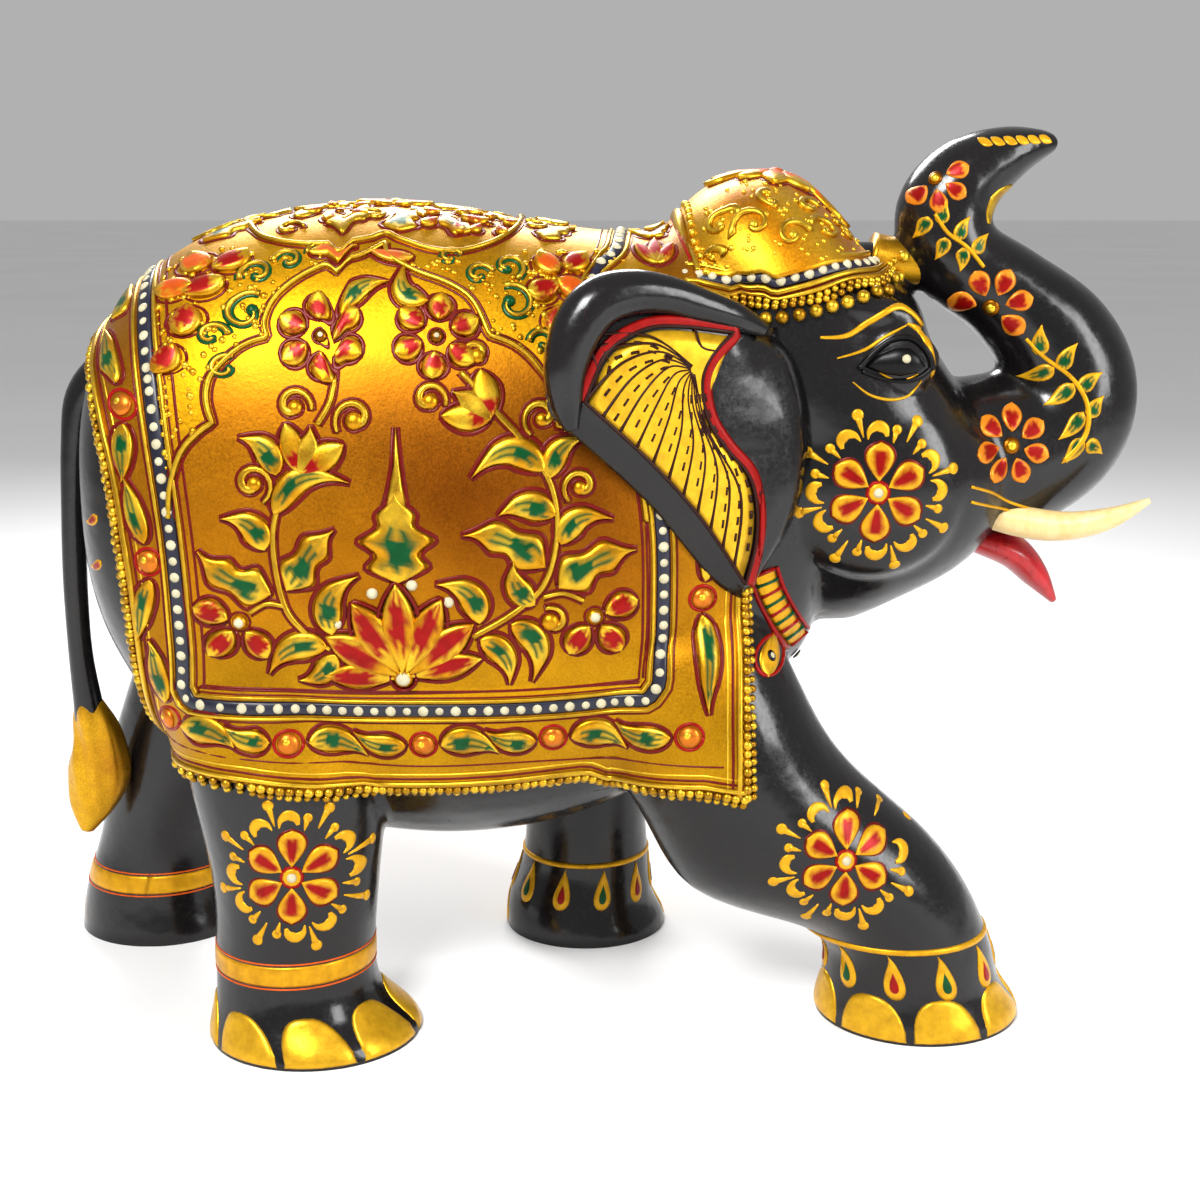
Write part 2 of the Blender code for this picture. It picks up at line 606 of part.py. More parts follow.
def make_necklace(form, parts, materials):
    before, normal = neck_plane(NECKLACE_FROM)
    after, _ = neck_plane(NECKLACE_TO)
    for name, side in SIDES:
        keep = [(before, tuple(-Vector(normal))), (after, normal),
                ((0, 0, NECKLACE_TOP), (0, 0, 1)), ((0, 0, NECKLACE_LOW), (0, 0, -1)),
                ((0, side * NECKLACE_INNER, 0), (0, -side, 0))]
        patch(f"{name}_necklace", form, 2 * GAP, NECKLACE_THICK, keep, [], parts,
              materials["gold_paint"])


def stand_on_origin(parts):
    """Moves everything so that the middle of the figure's footprint box is the origin."""
    bpy.context.view_layer.update()
    graph = bpy.context.evaluated_depsgraph_get()
    low, high = Vector((1e9,) * 3), Vector((-1e9,) * 3)
    for item in parts.objects:
        shape = item.evaluated_get(graph).to_mesh()
        for vertex in shape.vertices:
            low = Vector(map(min, low, vertex.co))
            high = Vector(map(max, high, vertex.co))
    shift = Matrix.Translation((-(low.x + high.x) / 2, -(low.y + high.y) / 2, -low.z))
    for item in parts.objects:
        item.data.transform(shift)


def main():
    clear_scene()
    parts, guides = make_collections()
    materials = make_materials()
    form = carved_form(guides)
    blocks = make_blocks(form, parts, guides, materials)
    make_dowels(blocks, parts, guides, materials)
    make_ears(form, blocks, parts, guides, materials)
    make_tail(blocks, parts, guides, materials)
    make_mouth(blocks, parts, guides, materials)
    make_cloth(form, parts, materials)
    make_cap(form, parts, materials)
    make_necklace(form, parts, materials)
    stand_on_origin(parts)


main()
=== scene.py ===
"""Looks of the carved wooden elephant: black lacquer, embossed gold paste and enamel paint.

Lengths are in millimetres in the carving's own frame (see ORIGIN) until MM turns them into
metres.  The figure faces +X and its right side, which the camera sees, is -Y.
"""
import bisect
import json
import math
import random

import bmesh
import bpy
from mathutils import Matrix, Vector
from mathutils.bvhtree import BVHTree

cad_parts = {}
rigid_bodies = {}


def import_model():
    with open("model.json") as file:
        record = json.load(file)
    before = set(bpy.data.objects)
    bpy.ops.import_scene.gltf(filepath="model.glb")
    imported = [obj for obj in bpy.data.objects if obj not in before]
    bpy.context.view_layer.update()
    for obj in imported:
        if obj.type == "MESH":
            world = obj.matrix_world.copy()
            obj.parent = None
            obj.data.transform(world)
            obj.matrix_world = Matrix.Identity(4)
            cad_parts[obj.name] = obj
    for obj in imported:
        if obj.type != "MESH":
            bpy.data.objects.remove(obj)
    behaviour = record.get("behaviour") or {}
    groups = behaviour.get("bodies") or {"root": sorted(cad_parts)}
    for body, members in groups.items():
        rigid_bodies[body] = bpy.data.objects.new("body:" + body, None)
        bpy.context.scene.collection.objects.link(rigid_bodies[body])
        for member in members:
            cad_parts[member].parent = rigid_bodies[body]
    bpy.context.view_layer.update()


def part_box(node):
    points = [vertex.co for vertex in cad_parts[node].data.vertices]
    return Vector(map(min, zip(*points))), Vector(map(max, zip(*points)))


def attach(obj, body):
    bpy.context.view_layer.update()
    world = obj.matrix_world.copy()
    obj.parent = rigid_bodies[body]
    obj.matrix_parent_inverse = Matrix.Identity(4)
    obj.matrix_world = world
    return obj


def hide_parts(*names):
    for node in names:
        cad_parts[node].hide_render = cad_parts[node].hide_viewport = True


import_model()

MM = 0.001
# The carving's frame has its neck dowel here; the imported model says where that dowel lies.
NECK_DOWEL_AT = Vector((28.0, 0.0, 102.0))
DOWEL_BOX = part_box("neck_dowel")
ORIGIN = (Vector(DOWEL_BOX[0]) + Vector(DOWEL_BOX[1])) / 2 - NECK_DOWEL_AT * MM

RIGHT, LEFT = -1, 1
SIDES = (("right", RIGHT), ("left", LEFT))


def world(point):
    """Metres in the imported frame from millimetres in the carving's frame."""
    return Vector(point) * MM + ORIGIN


# ---- the carving: stated sections ----
TORSO_POWER, HEAD_POWER = 2.5, 2.2
ROW_STEPS = 6
RING_SIDES = 48
# torso rows: (x, lowest z, highest z, half width)
TORSO = [(-93.5, 84, 109, 12), (-91.5, 74, 119.5, 21), (-87.0, 64, 127.5, 29),
         (-79.0, 52, 136, 34), (-67.0, 42, 142.7, 37), (-50.0, 34, 146.3, 38),
         (-32.0, 31.0, 146.3, 38), (-15.0, 32, 144.2, 37), (0.0, 36, 142.0, 35),
         (12.0, 43, 142.0, 32), (22.0, 51, 143, 29), (31.0, 60, 139, 26),
         (37.5, 66, 127, 21), (41.0, 74, 117, 14)]
# head rows: (z, back x, front x, half width)
HEAD = [(72.0, 38, 49, 6), (76.0, 33, 56, 13), (83.0, 28, 68, 19),
        (92.0, 24, 75, 23), (103.0, 22, 76, 25), (113.0, 20, 68, 25),
        (123.0, 17, 61, 24), (132.0, 14, 57, 22.5), (140.0, 13, 46.5, 20),
        (146.0, 15, 40, 16), (149.8, 20, 35.5, 10), (151.2, 25, 32, 4)]
# trunk rows: (x, z, half thickness, half width)
TRUNK = [(64.0, 102.0, 14.5, 16), (75.0, 103.0, 15.0, 14.5), (84.0, 107.5, 13.8, 12.8),
         (86.8, 115.5, 12.4, 11.8), (83.0, 124.2, 11.0, 10.8), (73.8, 132.6, 8.9, 9.8),
         (65.0, 138.5, 8.5, 9.2), (62.4, 146.0, 8.9, 8.8), (66.2, 152.6, 7.6, 8.2),
         (74.0, 157.2, 4.9, 6.4), (82.0, 159.2, 1.6, 3.2)]
# leg rows: (x, y, z, lean in degrees, half length, half width)
LEGS = {
    "front_right_leg": [(10, -18, 72, 20, 20, 16), (20.5, -20, 54, 38, 18.8, 16.5),
                        (30.3, -20.5, 38.0, 42, 18.6, 16), (49.5, -20, 26.0, 38, 14.2, 14.5),
                        (57, -19, 15, 5, 15.2, 14.5), (58.4, -18.5, 7, 0, 16.4, 16),
                        (59.6, -18.5, 1.5, 0, 18.8, 17.5), (59.6, -18.5, -3, 0, 18.8, 17.5)],
    "hind_right_leg": [(-60, -19, 78, 0, 20, 17), (-58, -22, 58, 0, 18.5, 16.5),
                       (-56, -24, 42, 0, 17, 15.5), (-55.3, -25.5, 28, 0, 15, 14.5),
                       (-55.8, -26, 15, 0, 14.5, 14.2), (-55.2, -26.7, 7.5, 0, 15.2, 15),
                       (-52.4, -27.7, 1.5, 0, 19, 17.5), (-52.4, -27.7, -3, 0, 19, 17.5)],
    "front_left_leg": [(-2, 18, 66, 0, 20, 16), (-3, 20, 45, 0, 16.5, 15),
                       (-3, 22.5, 28, 0, 12.8, 13), (-3, 23, 16, 0, 13, 12.8),
                       (-4, 22.3, 7, 0, 14.9, 14), (-3, 22.3, 1.5, 0, 16.5, 15.5),
                       (-3, 22.3, -3, 0, 16.5, 15.5)],
    "hind_left_leg": [(-70, 17, 74, -15, 18, 16), (-78, 20, 54, -20, 16.5, 15.5),
                      (-86, 22, 36, -18, 15, 14.5), (-90.5, 24, 20, -8, 13.7, 13.5),
                      (-92.7, 23.8, 9, 0, 15.3, 14.5), (-92.3, 23.8, 1.5, 0, 17, 16),
                      (-92.3, 23.8, -3, 0, 17, 16)],
}


# ---- geometry helpers ----
def catmull(rows, steps):
    """Rows of numbers with smooth rows put between them."""
    smooth = []
    for index in range(len(rows) - 1):
        before = rows[max(index - 1, 0)]
        start, end = rows[index], rows[index + 1]
        after = rows[min(index + 2, len(rows) - 1)]
        for step in range(steps):
            t = step / steps
            smooth.append([0.5 * (2 * b + (c - a) * t + (2 * a - 5 * b + 4 * c - d) * t * t
                                  + (3 * b - a - 3 * c + d) * t ** 3)
                           for a, b, c, d in zip(before, start, end, after)])
    smooth.append(list(rows[-1]))
    return smooth


def superellipse(half_u, half_v, power, sides):
    """Points round an oval that a higher power makes squarer."""
    points = []
    for index in range(sides):
        angle = 2 * math.pi * index / sides
        c, s = math.cos(angle), math.sin(angle)
        points.append((half_u * math.copysign(abs(c) ** (2 / power), c),
                       half_v * math.copysign(abs(s) ** (2 / power), s)))
    return points


def loft(work, sections, power=2.0, sides=RING_SIDES):
    """Adds a closed solid through (centre, u axis, v axis, half u, half v) to a bmesh, in mm."""
    rings = []
    for centre, u_axis, v_axis, half_u, half_v in sections:
        rings.append([work.verts.new(Vector(centre) + u * Vector(u_axis) + v * Vector(v_axis))
                      for u, v in superellipse(half_u, half_v, power, sides)])
    faces = []
    for lower, upper in zip(rings, rings[1:]):
        for index in range(sides):
            after = (index + 1) % sides
            faces.append(work.faces.new((lower[index], lower[after], upper[after], upper[index])))
    for ring in (rings[0], rings[-1]):
        tip = work.verts.new(sum((v.co for v in ring), Vector()) / sides)
        for index in range(sides):
            faces.append(work.faces.new((ring[index], ring[(index + 1) % sides], tip)))
    bmesh.ops.recalc_face_normals(work, faces=faces)


def tube(work, rows, sides=RING_SIDES, steps=ROW_STEPS):
    """A closed tube through (x, y, z, half thickness, half width), square to its own path."""
    smooth = catmull(rows, steps)
    sections = []
    for index, (x, y, z, thick, wide) in enumerate(smooth):
        before, after = smooth[max(index - 1, 0)], smooth[min(index + 1, len(smooth) - 1)]
        along = Vector(after[:3]) - Vector(before[:3])
        side = Vector((0, 1, 0))
        side = (side - side.project(along)).normalized()
        sections.append(((x, y, z), along.cross(side).normalized(), side, thick, wide))
    loft(work, sections, sides=sides)


def ellipsoid(work, centre, half, turn_y, turn_z):
    matrix = (Matrix.Translation(centre) @ Matrix.Rotation(math.radians(turn_z), 4, "Z")
              @ Matrix.Rotation(math.radians(turn_y), 4, "Y") @ Matrix.Diagonal((*half, 1.0)))
    bmesh.ops.create_uvsphere(work, u_segments=28, v_segments=14, radius=1.0, matrix=matrix)


def evaluated_mesh(item):
    bpy.context.view_layer.update()
    graph = bpy.context.evaluated_depsgraph_get()
    return bpy.data.meshes.new_from_object(item.evaluated_get(graph))


def blended(work, voxel, smoothing):
    """One smooth closed skin, in mm, over all the solids in a bmesh."""
    mesh = bpy.data.meshes.new("rough")
    work.to_mesh(mesh)
    work.free()
    item = bpy.data.objects.new("rough", mesh)
    bpy.context.scene.collection.objects.link(item)
    remesh = item.modifiers.new("blend", "REMESH")
    remesh.mode = "VOXEL"
    remesh.voxel_size = voxel
    smooth = item.modifiers.new("sand", "SMOOTH")
    smooth.factor = 0.5
    smooth.iterations = smoothing
    skin = evaluated_mesh(item)
    bpy.data.objects.remove(item, do_unlink=True)
    return skin


class Surface:
    """A mesh, in mm, that rays are cast on; it answers with a point and a smooth normal."""

    def __init__(self, mesh):
        self.mesh = mesh
        self.tree = BVHTree.FromPolygons([v.co for v in mesh.vertices],
                                         [p.vertices for p in mesh.polygons])
        self.normals = [v.normal.copy() for v in mesh.vertices]

    def smooth_normal(self, point, face):
        total = Vector()
        for index in self.mesh.polygons[face].vertices:
            weight = 1.0 / ((self.mesh.vertices[index].co - point).length + 0.05)
            total += weight * self.normals[index]
        return total.normalized()

    def cast(self, origin, direction):
        point, _, face, _ = self.tree.ray_cast(Vector(origin), Vector(direction))
        if point is None:
            return None
        return point, self.smooth_normal(point, face)


# ---- the skin of the carving ----
def add_torso(work):
    sections = []
    for x, low, high, half in catmull(TORSO, ROW_STEPS):
        sections.append(((x, 0, (low + high) / 2), (0, 1, 0), (0, 0, 1), half, (high - low) / 2))
    loft(work, sections, TORSO_POWER)


def add_head(work):
    sections = []
    for z, back, front, half in catmull(HEAD, ROW_STEPS):
        sections.append((((back + front) / 2, 0, z), (1, 0, 0), (0, 1, 0),
                         (front - back) / 2, half))
    loft(work, sections, HEAD_POWER)
    tube(work, [(x, 0, z, thick, wide) for x, z, thick, wide in TRUNK])
    tube(work, [(42, 0, 137.5, 4.0, 5.0), (50, 0, 137.5, 4.0, 4.6), (60, 0, 137.5, 4.0, 4.6)],
         steps=2)
    for side in (RIGHT, LEFT):
        ellipsoid(work, (50.5, side * 20.5, 122), (8.5, 3.6, 6.0), 0, side * 12)
        ellipsoid(work, (46, side * 19.0, 130.5), (11, 4.0, 3.2), 14, 0)
        ellipsoid(work, (48, side * 19.5, 100), (17, 6.5, 17), 0, 0)


def add_leg(work, rows):
    sections = []
    for x, y, z, lean, half_x, half_y in catmull(rows, ROW_STEPS):
        lean = math.radians(lean)
        sections.append(((x, y, z), (math.cos(lean), 0, math.sin(lean)), (0, 1, 0),
                         half_x, half_y))
    loft(work, sections)


def carved(voxel, smoothing):
    """The whole animal as one surface."""
    work = bmesh.new()
    add_torso(work)
    add_head(work)
    for rows in LEGS.values():
        add_leg(work, rows)
    return Surface(blended(work, voxel, smoothing))


SKIN = carved(0.9, 10)
DRAPE = carved(1.3, 45)         # smoother, as cloth lies: hollows by the legs are bridged


class FlankMap:
    """Drawing coordinates (t, v) over a rounded form that lies along X.

    t runs along the form and, behind round_x, on round its back end.  v is the height up the
    flank below turn; above it, it is the length along the surface towards the spine."""

    def __init__(self, low_t, high_t, step, axis_z, turn, round_x, round_radius, surface):
        self.low_t, self.step, self.axis_z, self.turn = low_t, step, axis_z, turn
        self.round_x, self.round_radius, self.surface = round_x, round_radius, surface
        self.angles = [math.radians(a) for a in range(-9, 151, 3)]
        self.count = int((high_t - low_t) / step) + 1
        self.columns = {side: [self.column(low_t + step * i, side) for i in range(self.count)]
                        for _, side in SIDES}

    def ray(self, t, angle, side):
        tilt = max(0.0, (self.round_x - t) / self.round_radius)
        origin = Vector((max(t, self.round_x), 0, self.axis_z))
        out = math.cos(tilt)
        direction = Vector((-math.sin(tilt), side * math.sin(angle) * out, math.cos(angle) * out))
        return self.surface.cast(origin, direction)

    def column(self, t, side):
        """Values of v and their angles down one line of constant t, in rising order of v."""
        points = [(angle, self.ray(t, angle, side)[0]) for angle in self.angles]
        turn = next((i for i, (_, p) in enumerate(points) if i > 4 and p.z < self.turn),
                    len(points) - 1)
        values = []
        arc = 0.0
        for index in range(turn, -1, -1):
            if index < turn:
                arc += (points[index][1] - points[index + 1][1]).length
            values.append((self.turn + arc if index < turn else points[turn][1].z,
                           points[index][0]))
        values.reverse()
        for angle, point in points[turn + 1:]:
            values.append((min(point.z, values[-1][0] - 0.01), angle))
        values.sort()
        return [v for v, _ in values], [a for _, a in values]

    def column_angle(self, column, v, side):
        values, angles = self.columns[side][column]
        index = min(max(bisect.bisect_left(values, v), 1), len(values) - 1)
        low, high = values[index - 1], values[index]
        share = (v - low) / (high - low)
        return angles[index - 1] + (angles[index] - angles[index - 1]) * share

    def column_at(self, t):
        """The column before t, and how far t lies from it towards the next."""
        place = min(max((t - self.low_t) / self.step, 0.0), self.count - 1.001)
        return int(place), place - int(place)

    def hit(self, t, v, side):
        """The point at (t, v), and its normal."""
        column, share = self.column_at(t)
        angle = (self.column_angle(column, v, side) * (1 - share)
                 + self.column_angle(column + 1, v, side) * share)
        return self.ray(t, angle, side)

    def spine(self, t, side=RIGHT):
        """The v at which the surface crosses the spine."""
        column, share = self.column_at(t)
        found = []
        for values, angles in self.columns[side][column:column + 2]:
            index = min(range(len(angles)), key=lambda i: abs(angles[i]))
            found.append(values[index])
        return found[0] * (1 - share) + found[1] * share


BODY = FlankMap(-116.0, 34.0, 2.0, 92.0, 120.0, -60.0, 36.0, DRAPE)
CROWN = FlankMap(10.0, 58.0, 2.0, 118.0, 132.0, 10.0, 36.0, SKIN)


# ---- materials ----
class Nodes:
    """A small helper that adds nodes and links to one material."""

    def __init__(self, name):
        self.material = bpy.data.materials.new(name)
        self.material.use_nodes = True
        self.tree = self.material.node_tree
        self.shader = self.tree.nodes["Principled BSDF"]
        self.place = self.tree.nodes.new("ShaderNodeTexCoord")

    def add(self, kind, **inputs):
        node = self.tree.nodes.new(kind)
        for name, value in inputs.items():
            self.set(node.inputs[name.replace("_", " ")], value)
        return node

    def set(self, socket, value):
        if isinstance(value, bpy.types.NodeSocket):
            self.tree.links.new(value, socket)
        else:
            socket.default_value = value

    def shade(self, **inputs):
        """Sets or links the shader's own inputs; underscores stand for spaces."""
        for name, value in inputs.items():
            self.set(self.shader.inputs[name.replace("_", " ")], value)

    def noise(self, scale, detail=4.0, roughness=0.6, stretch=(1, 1, 1)):
        """Noise over the object, scale in features per millimetre."""
        mapping = self.add("ShaderNodeMapping", Scale=[s / MM for s in stretch])
        self.set(mapping.inputs["Vector"], self.place.outputs["Object"])
        node = self.add("ShaderNodeTexNoise", Scale=scale, Detail=detail, Roughness=roughness)
        self.set(node.inputs["Vector"], mapping.outputs["Vector"])
        return node.outputs["Fac"]

    def remap(self, value, from_low, from_high, low, high):
        node = self.add("ShaderNodeMapRange")
        for index, item in enumerate((value, from_low, from_high, low, high)):
            self.set(node.inputs[index], item)
        return node.outputs["Result"]

    def ramp(self, value, *stops):
        node = self.tree.nodes.new("ShaderNodeValToRGB")
        self.set(node.inputs["Fac"], value)
        band = node.color_ramp
        while len(band.elements) < len(stops):
            band.elements.new(0.5)
        for element, (position, colour) in zip(band.elements, stops):
            element.position = position
            element.color = (*colour, 1.0)
        return node.outputs["Color"]

    def mix(self, share, first, second, blend="MIX"):
        node = self.tree.nodes.new("ShaderNodeMix")
        node.data_type = "RGBA"
        node.blend_type = blend
        for index, value in ((0, share), (6, first), (7, second)):
            self.set(node.inputs[index], value)
        return node.outputs[2]

    def attribute(self, name):
        node = self.tree.nodes.new("ShaderNodeAttribute")
        node.attribute_name = name
        return node

    def bump(self, height, distance, strength=1.0, normal=None):
        node = self.add("ShaderNodeBump", Height=height, Distance=distance * MM,
                        Strength=strength)
        if normal is not None:
            self.set(node.inputs["Normal"], normal)
        return node.outputs["Normal"]


def srgb(*values):
    """Linear colour from 0 to 255 screen values."""
    linear = []
    for value in values:
        share = value / 255
        linear.append(share / 12.92 if share <= 0.04045 else ((share + 0.055) / 1.055) ** 2.4)
    return tuple(linear)


GOLD = srgb(204, 144, 20)
GOLD_DEEP = srgb(140, 84, 8)
GOLD_PALE = srgb(236, 196, 52)
DARK_RED = srgb(98, 12, 6)
RED = srgb(142, 9, 5)
ORANGE = srgb(206, 84, 14)
GREEN = srgb(2, 70, 32)
PEARL = srgb(190, 184, 154)
NAVY = srgb(6, 8, 26)
ENAMEL = srgb(214, 158, 22)
ORANGE_GOLD = srgb(222, 132, 30)
BLACK = srgb(8, 7, 8)
BRONZE = srgb(70, 48, 22)
PINK = srgb(196, 92, 40)


WHITE = (1.0, 1.0, 1.0)


def lacquer_material():
    """Black gloss lacquer over carved wood: slow waves of the knife, dust and fine scratches."""
    n = Nodes("black_lacquer")
    broad = n.noise(0.035, 3.0, 0.5)
    fine = n.noise(1.4, 5.0, 0.65)
    waves = n.bump(n.noise(0.11, 2.0, 0.5), 0.55, 0.6)
    n.shade(Base_Color=n.ramp(broad, (0.3, srgb(10, 9, 10)), (0.7, srgb(20, 17, 17))),
            Roughness=n.remap(fine, 0.35, 0.7, 0.14, 0.3), Specular_IOR_Level=0.34,
            Coat_Weight=0.12, Coat_Roughness=0.05, Normal=n.bump(fine, 0.03, 0.35, waves))
    return n.material


def gold_material():
    """Brushed metallic gold paint: mottled tone, flake sparkle and brush grain."""
    n = Nodes("gold_ground")
    mottle = n.noise(0.05, 5.0, 0.62)
    flakes = n.noise(3.2, 3.0, 0.75)
    brush = n.noise(0.9, 4.0, 0.6, (0.35, 0.35, 1.6))
    tone = n.ramp(mottle, (0.32, srgb(176, 114, 14)), (0.66, srgb(224, 172, 26)))
    sparkle = n.ramp(flakes, (0.42, (0.72, 0.68, 0.6)), (0.6, WHITE))
    waves = n.bump(brush, 0.05, 0.5)
    n.shade(Base_Color=n.mix(1.0, tone, sparkle, "MULTIPLY"),
            Metallic=n.remap(flakes, 0.3, 0.7, 0.72, 0.95),
            Roughness=n.remap(brush, 0.3, 0.7, 0.26, 0.44),
            Normal=n.bump(flakes, 0.025, 0.5, waves))
    return n.material


def paint_material():
    """Hand-laid paint and paste: colour and metal share come with each stroke."""
    n = Nodes("hand_paint")
    blotch = n.noise(0.5, 4.0, 0.6)
    fine = n.noise(2.5, 4.0, 0.7)
    tone = n.mix(1.0, n.attribute("Paint").outputs["Color"],
                 n.ramp(blotch, (0.3, (0.74, 0.70, 0.66)), (0.62, WHITE)), "MULTIPLY")
    n.shade(Base_Color=tone, Metallic=n.attribute("Metal").outputs["Fac"],
            Roughness=n.remap(fine, 0.3, 0.7, 0.26, 0.44), Specular_IOR_Level=0.16,
            Coat_Weight=0.04, Coat_Roughness=0.08, Normal=n.bump(fine, 0.05, 0.5))
    return n.material


def cloth_material():
    """The cloth's gold: painted tones under a fine metallic grain and shallow stippling."""
    n = Nodes("cloth_gold")
    grain = n.noise(2.6, 4.0, 0.75)
    cloud = n.noise(0.06, 5.0, 0.6)
    stipple = n.noise(1.1, 3.0, 0.6)
    shade = n.ramp(cloud, (0.3, (0.72, 0.66, 0.58)), (0.65, (1.05, 1.03, 1.0)))
    speckle = n.ramp(grain, (0.36, (0.66, 0.62, 0.56)), (0.6, WHITE))
    tone = n.mix(1.0, n.attribute("Paint").outputs["Color"], shade, "MULTIPLY")
    n.shade(Base_Color=n.mix(0.8, tone, speckle, "MULTIPLY"), Metallic=0.88,
            Specular_IOR_Level=0.2, Roughness=n.remap(grain, 0.3, 0.7, 0.34, 0.52),
            Normal=n.bump(grain, 0.04, 0.6, n.bump(stipple, 0.08, 0.5)))
    return n.material


def enamel_material(name, low, high, roughness, coat):
    """Plain brushed enamel: two close tones, faint streaks and an uneven gloss."""
    n = Nodes(name)
    streaks = n.noise(0.45, 5.0, 0.65, (1.0, 1.0, 0.4))
    n.shade(Base_Color=n.ramp(streaks, (0.3, low), (0.68, high)),
            Roughness=n.remap(streaks, 0.3, 0.7, roughness * 0.8, roughness * 1.3),
            Coat_Weight=coat, Coat_Roughness=0.12,
            Normal=n.bump(n.noise(1.8, 4.0, 0.65), 0.04, 0.5))
    return n.material


def wood_material():
    """Bare dowel wood: straight grain with darker pores."""
    n = Nodes("bare_wood")
    grain = n.noise(0.6, 6.0, 0.6, (1.0, 1.0, 0.12))
    pores = n.noise(3.0, 3.0, 0.6, (1.0, 1.0, 0.2))
    tone = n.ramp(grain, (0.3, srgb(160, 118, 74)), (0.7, srgb(206, 168, 118)))
    n.shade(Base_Color=n.mix(n.remap(pores, 0.55, 0.7, 0.0, 0.5), tone,
                             (*srgb(110, 74, 42), 1.0)),
            Roughness=0.62, Normal=n.bump(grain, 0.05, 0.6))
    return n.material


MATERIALS = {
    "lacquer": lacquer_material(),
    "gold": gold_material(),
    "paint": paint_material(),
    "cloth": cloth_material(),
    "navy": enamel_material("navy_enamel", srgb(5, 6, 22), srgb(12, 13, 40), 0.36, 0.04),
    "ivory": enamel_material("ivory_enamel", srgb(206, 172, 104), srgb(226, 200, 146), 0.34, 0.1),
    "tongue": enamel_material("tongue_enamel", srgb(150, 6, 14), srgb(186, 10, 22), 0.3, 0.05),
    "wood": wood_material(),
}


# ---- pieces ----
SHARP_ANGLE = math.radians(48)
SINK = 0.12                     # how far a stroke's edge goes into what it is painted on


def add_piece(name, mesh, material, slot, *replaced, sharp=None):
    """Takes a mesh in mm into the world, gives it a material and lets it ride on the root."""
    mesh.transform(Matrix.Translation(ORIGIN) @ Matrix.Scale(MM, 4))
    item = bpy.data.objects.new(name, mesh)
    bpy.context.scene.collection.objects.link(item)
    mesh.materials.clear()
    mesh.materials.append(MATERIALS[material])
    mesh.shade_smooth()
    if sharp:
        mesh.set_sharp_from_angle(angle=sharp)
    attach(item, "root")
    if replaced:
        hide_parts(*replaced)


def closed_mesh(points, faces, name="form"):
    mesh = bpy.data.meshes.new(name)
    mesh.from_pydata([tuple(p) for p in points], [], faces)
    work = bmesh.new()
    work.from_mesh(mesh)
    bmesh.ops.recalc_face_normals(work, faces=work.faces)
    work.to_mesh(mesh)
    work.free()
    return mesh


def mesh_of(work, name="form"):
    mesh = bpy.data.meshes.new(name)
    work.to_mesh(mesh)
    work.free()
    return mesh


def interpolate(points, x):
    """The second number at x along points whose first number rises."""
    for (x0, y0), (x1, y1) in zip(points, points[1:]):
        if x <= x1:
            share = min(max((x - x0) / (x1 - x0), 0.0), 1.0)
            return y0 + (y1 - y0) * share
    return points[-1][1]


def spline(points, steps=6):
    return [tuple(p) for p in catmull([list(p) for p in points], steps)]


def resample(path, pitch):
    """Points about one pitch apart along a path."""
    lengths = [math.dist(a, b) for a, b in zip(path, path[1:])]
    count = max(round(sum(lengths) / pitch), 1)
    spots, start, index = [], 0.0, 0
    for step in range(count + 1):
        want = sum(lengths) * step / count
        while index < len(lengths) - 1 and start + lengths[index] < want:
            start += lengths[index]
            index += 1
        share = (want - start) / (lengths[index] or 1.0)
        spots.append(tuple(a + (b - a) * share for a, b in zip(path[index], path[index + 1])))
    return spots


def side_vector(path, index):
    """A unit vector to the left of a path at one of its points."""
    before, after = path[max(index - 1, 0)], path[min(index + 1, len(path) - 1)]
    du, dv = after[0] - before[0], after[1] - before[1]
    length = math.hypot(du, dv) or 1.0
    return -dv / length, du / length


def shifted(path, offset):
    """A path moved sideways, to its left."""
    moved = []
    for index, (u, v) in enumerate(path):
        du, dv = side_vector(path, index)
        moved.append((u + du * offset, v + dv * offset))
    return moved


def dome_faces(count, rings):
    """Faces from a middle point, number 0, out through rings of count points."""
    faces = [(0, 1 + i, 1 + (i + 1) % count) for i in range(count)]
    for ring in range(rings - 1):
        for index in range(count):
            a = 1 + ring * count + index
            b = 1 + ring * count + (index + 1) % count
            faces.append((a, a + count, b + count, b))
    return faces


def last_ring(count, rings):
    return tuple(1 + (rings - 1) * count + i for i in range(count))


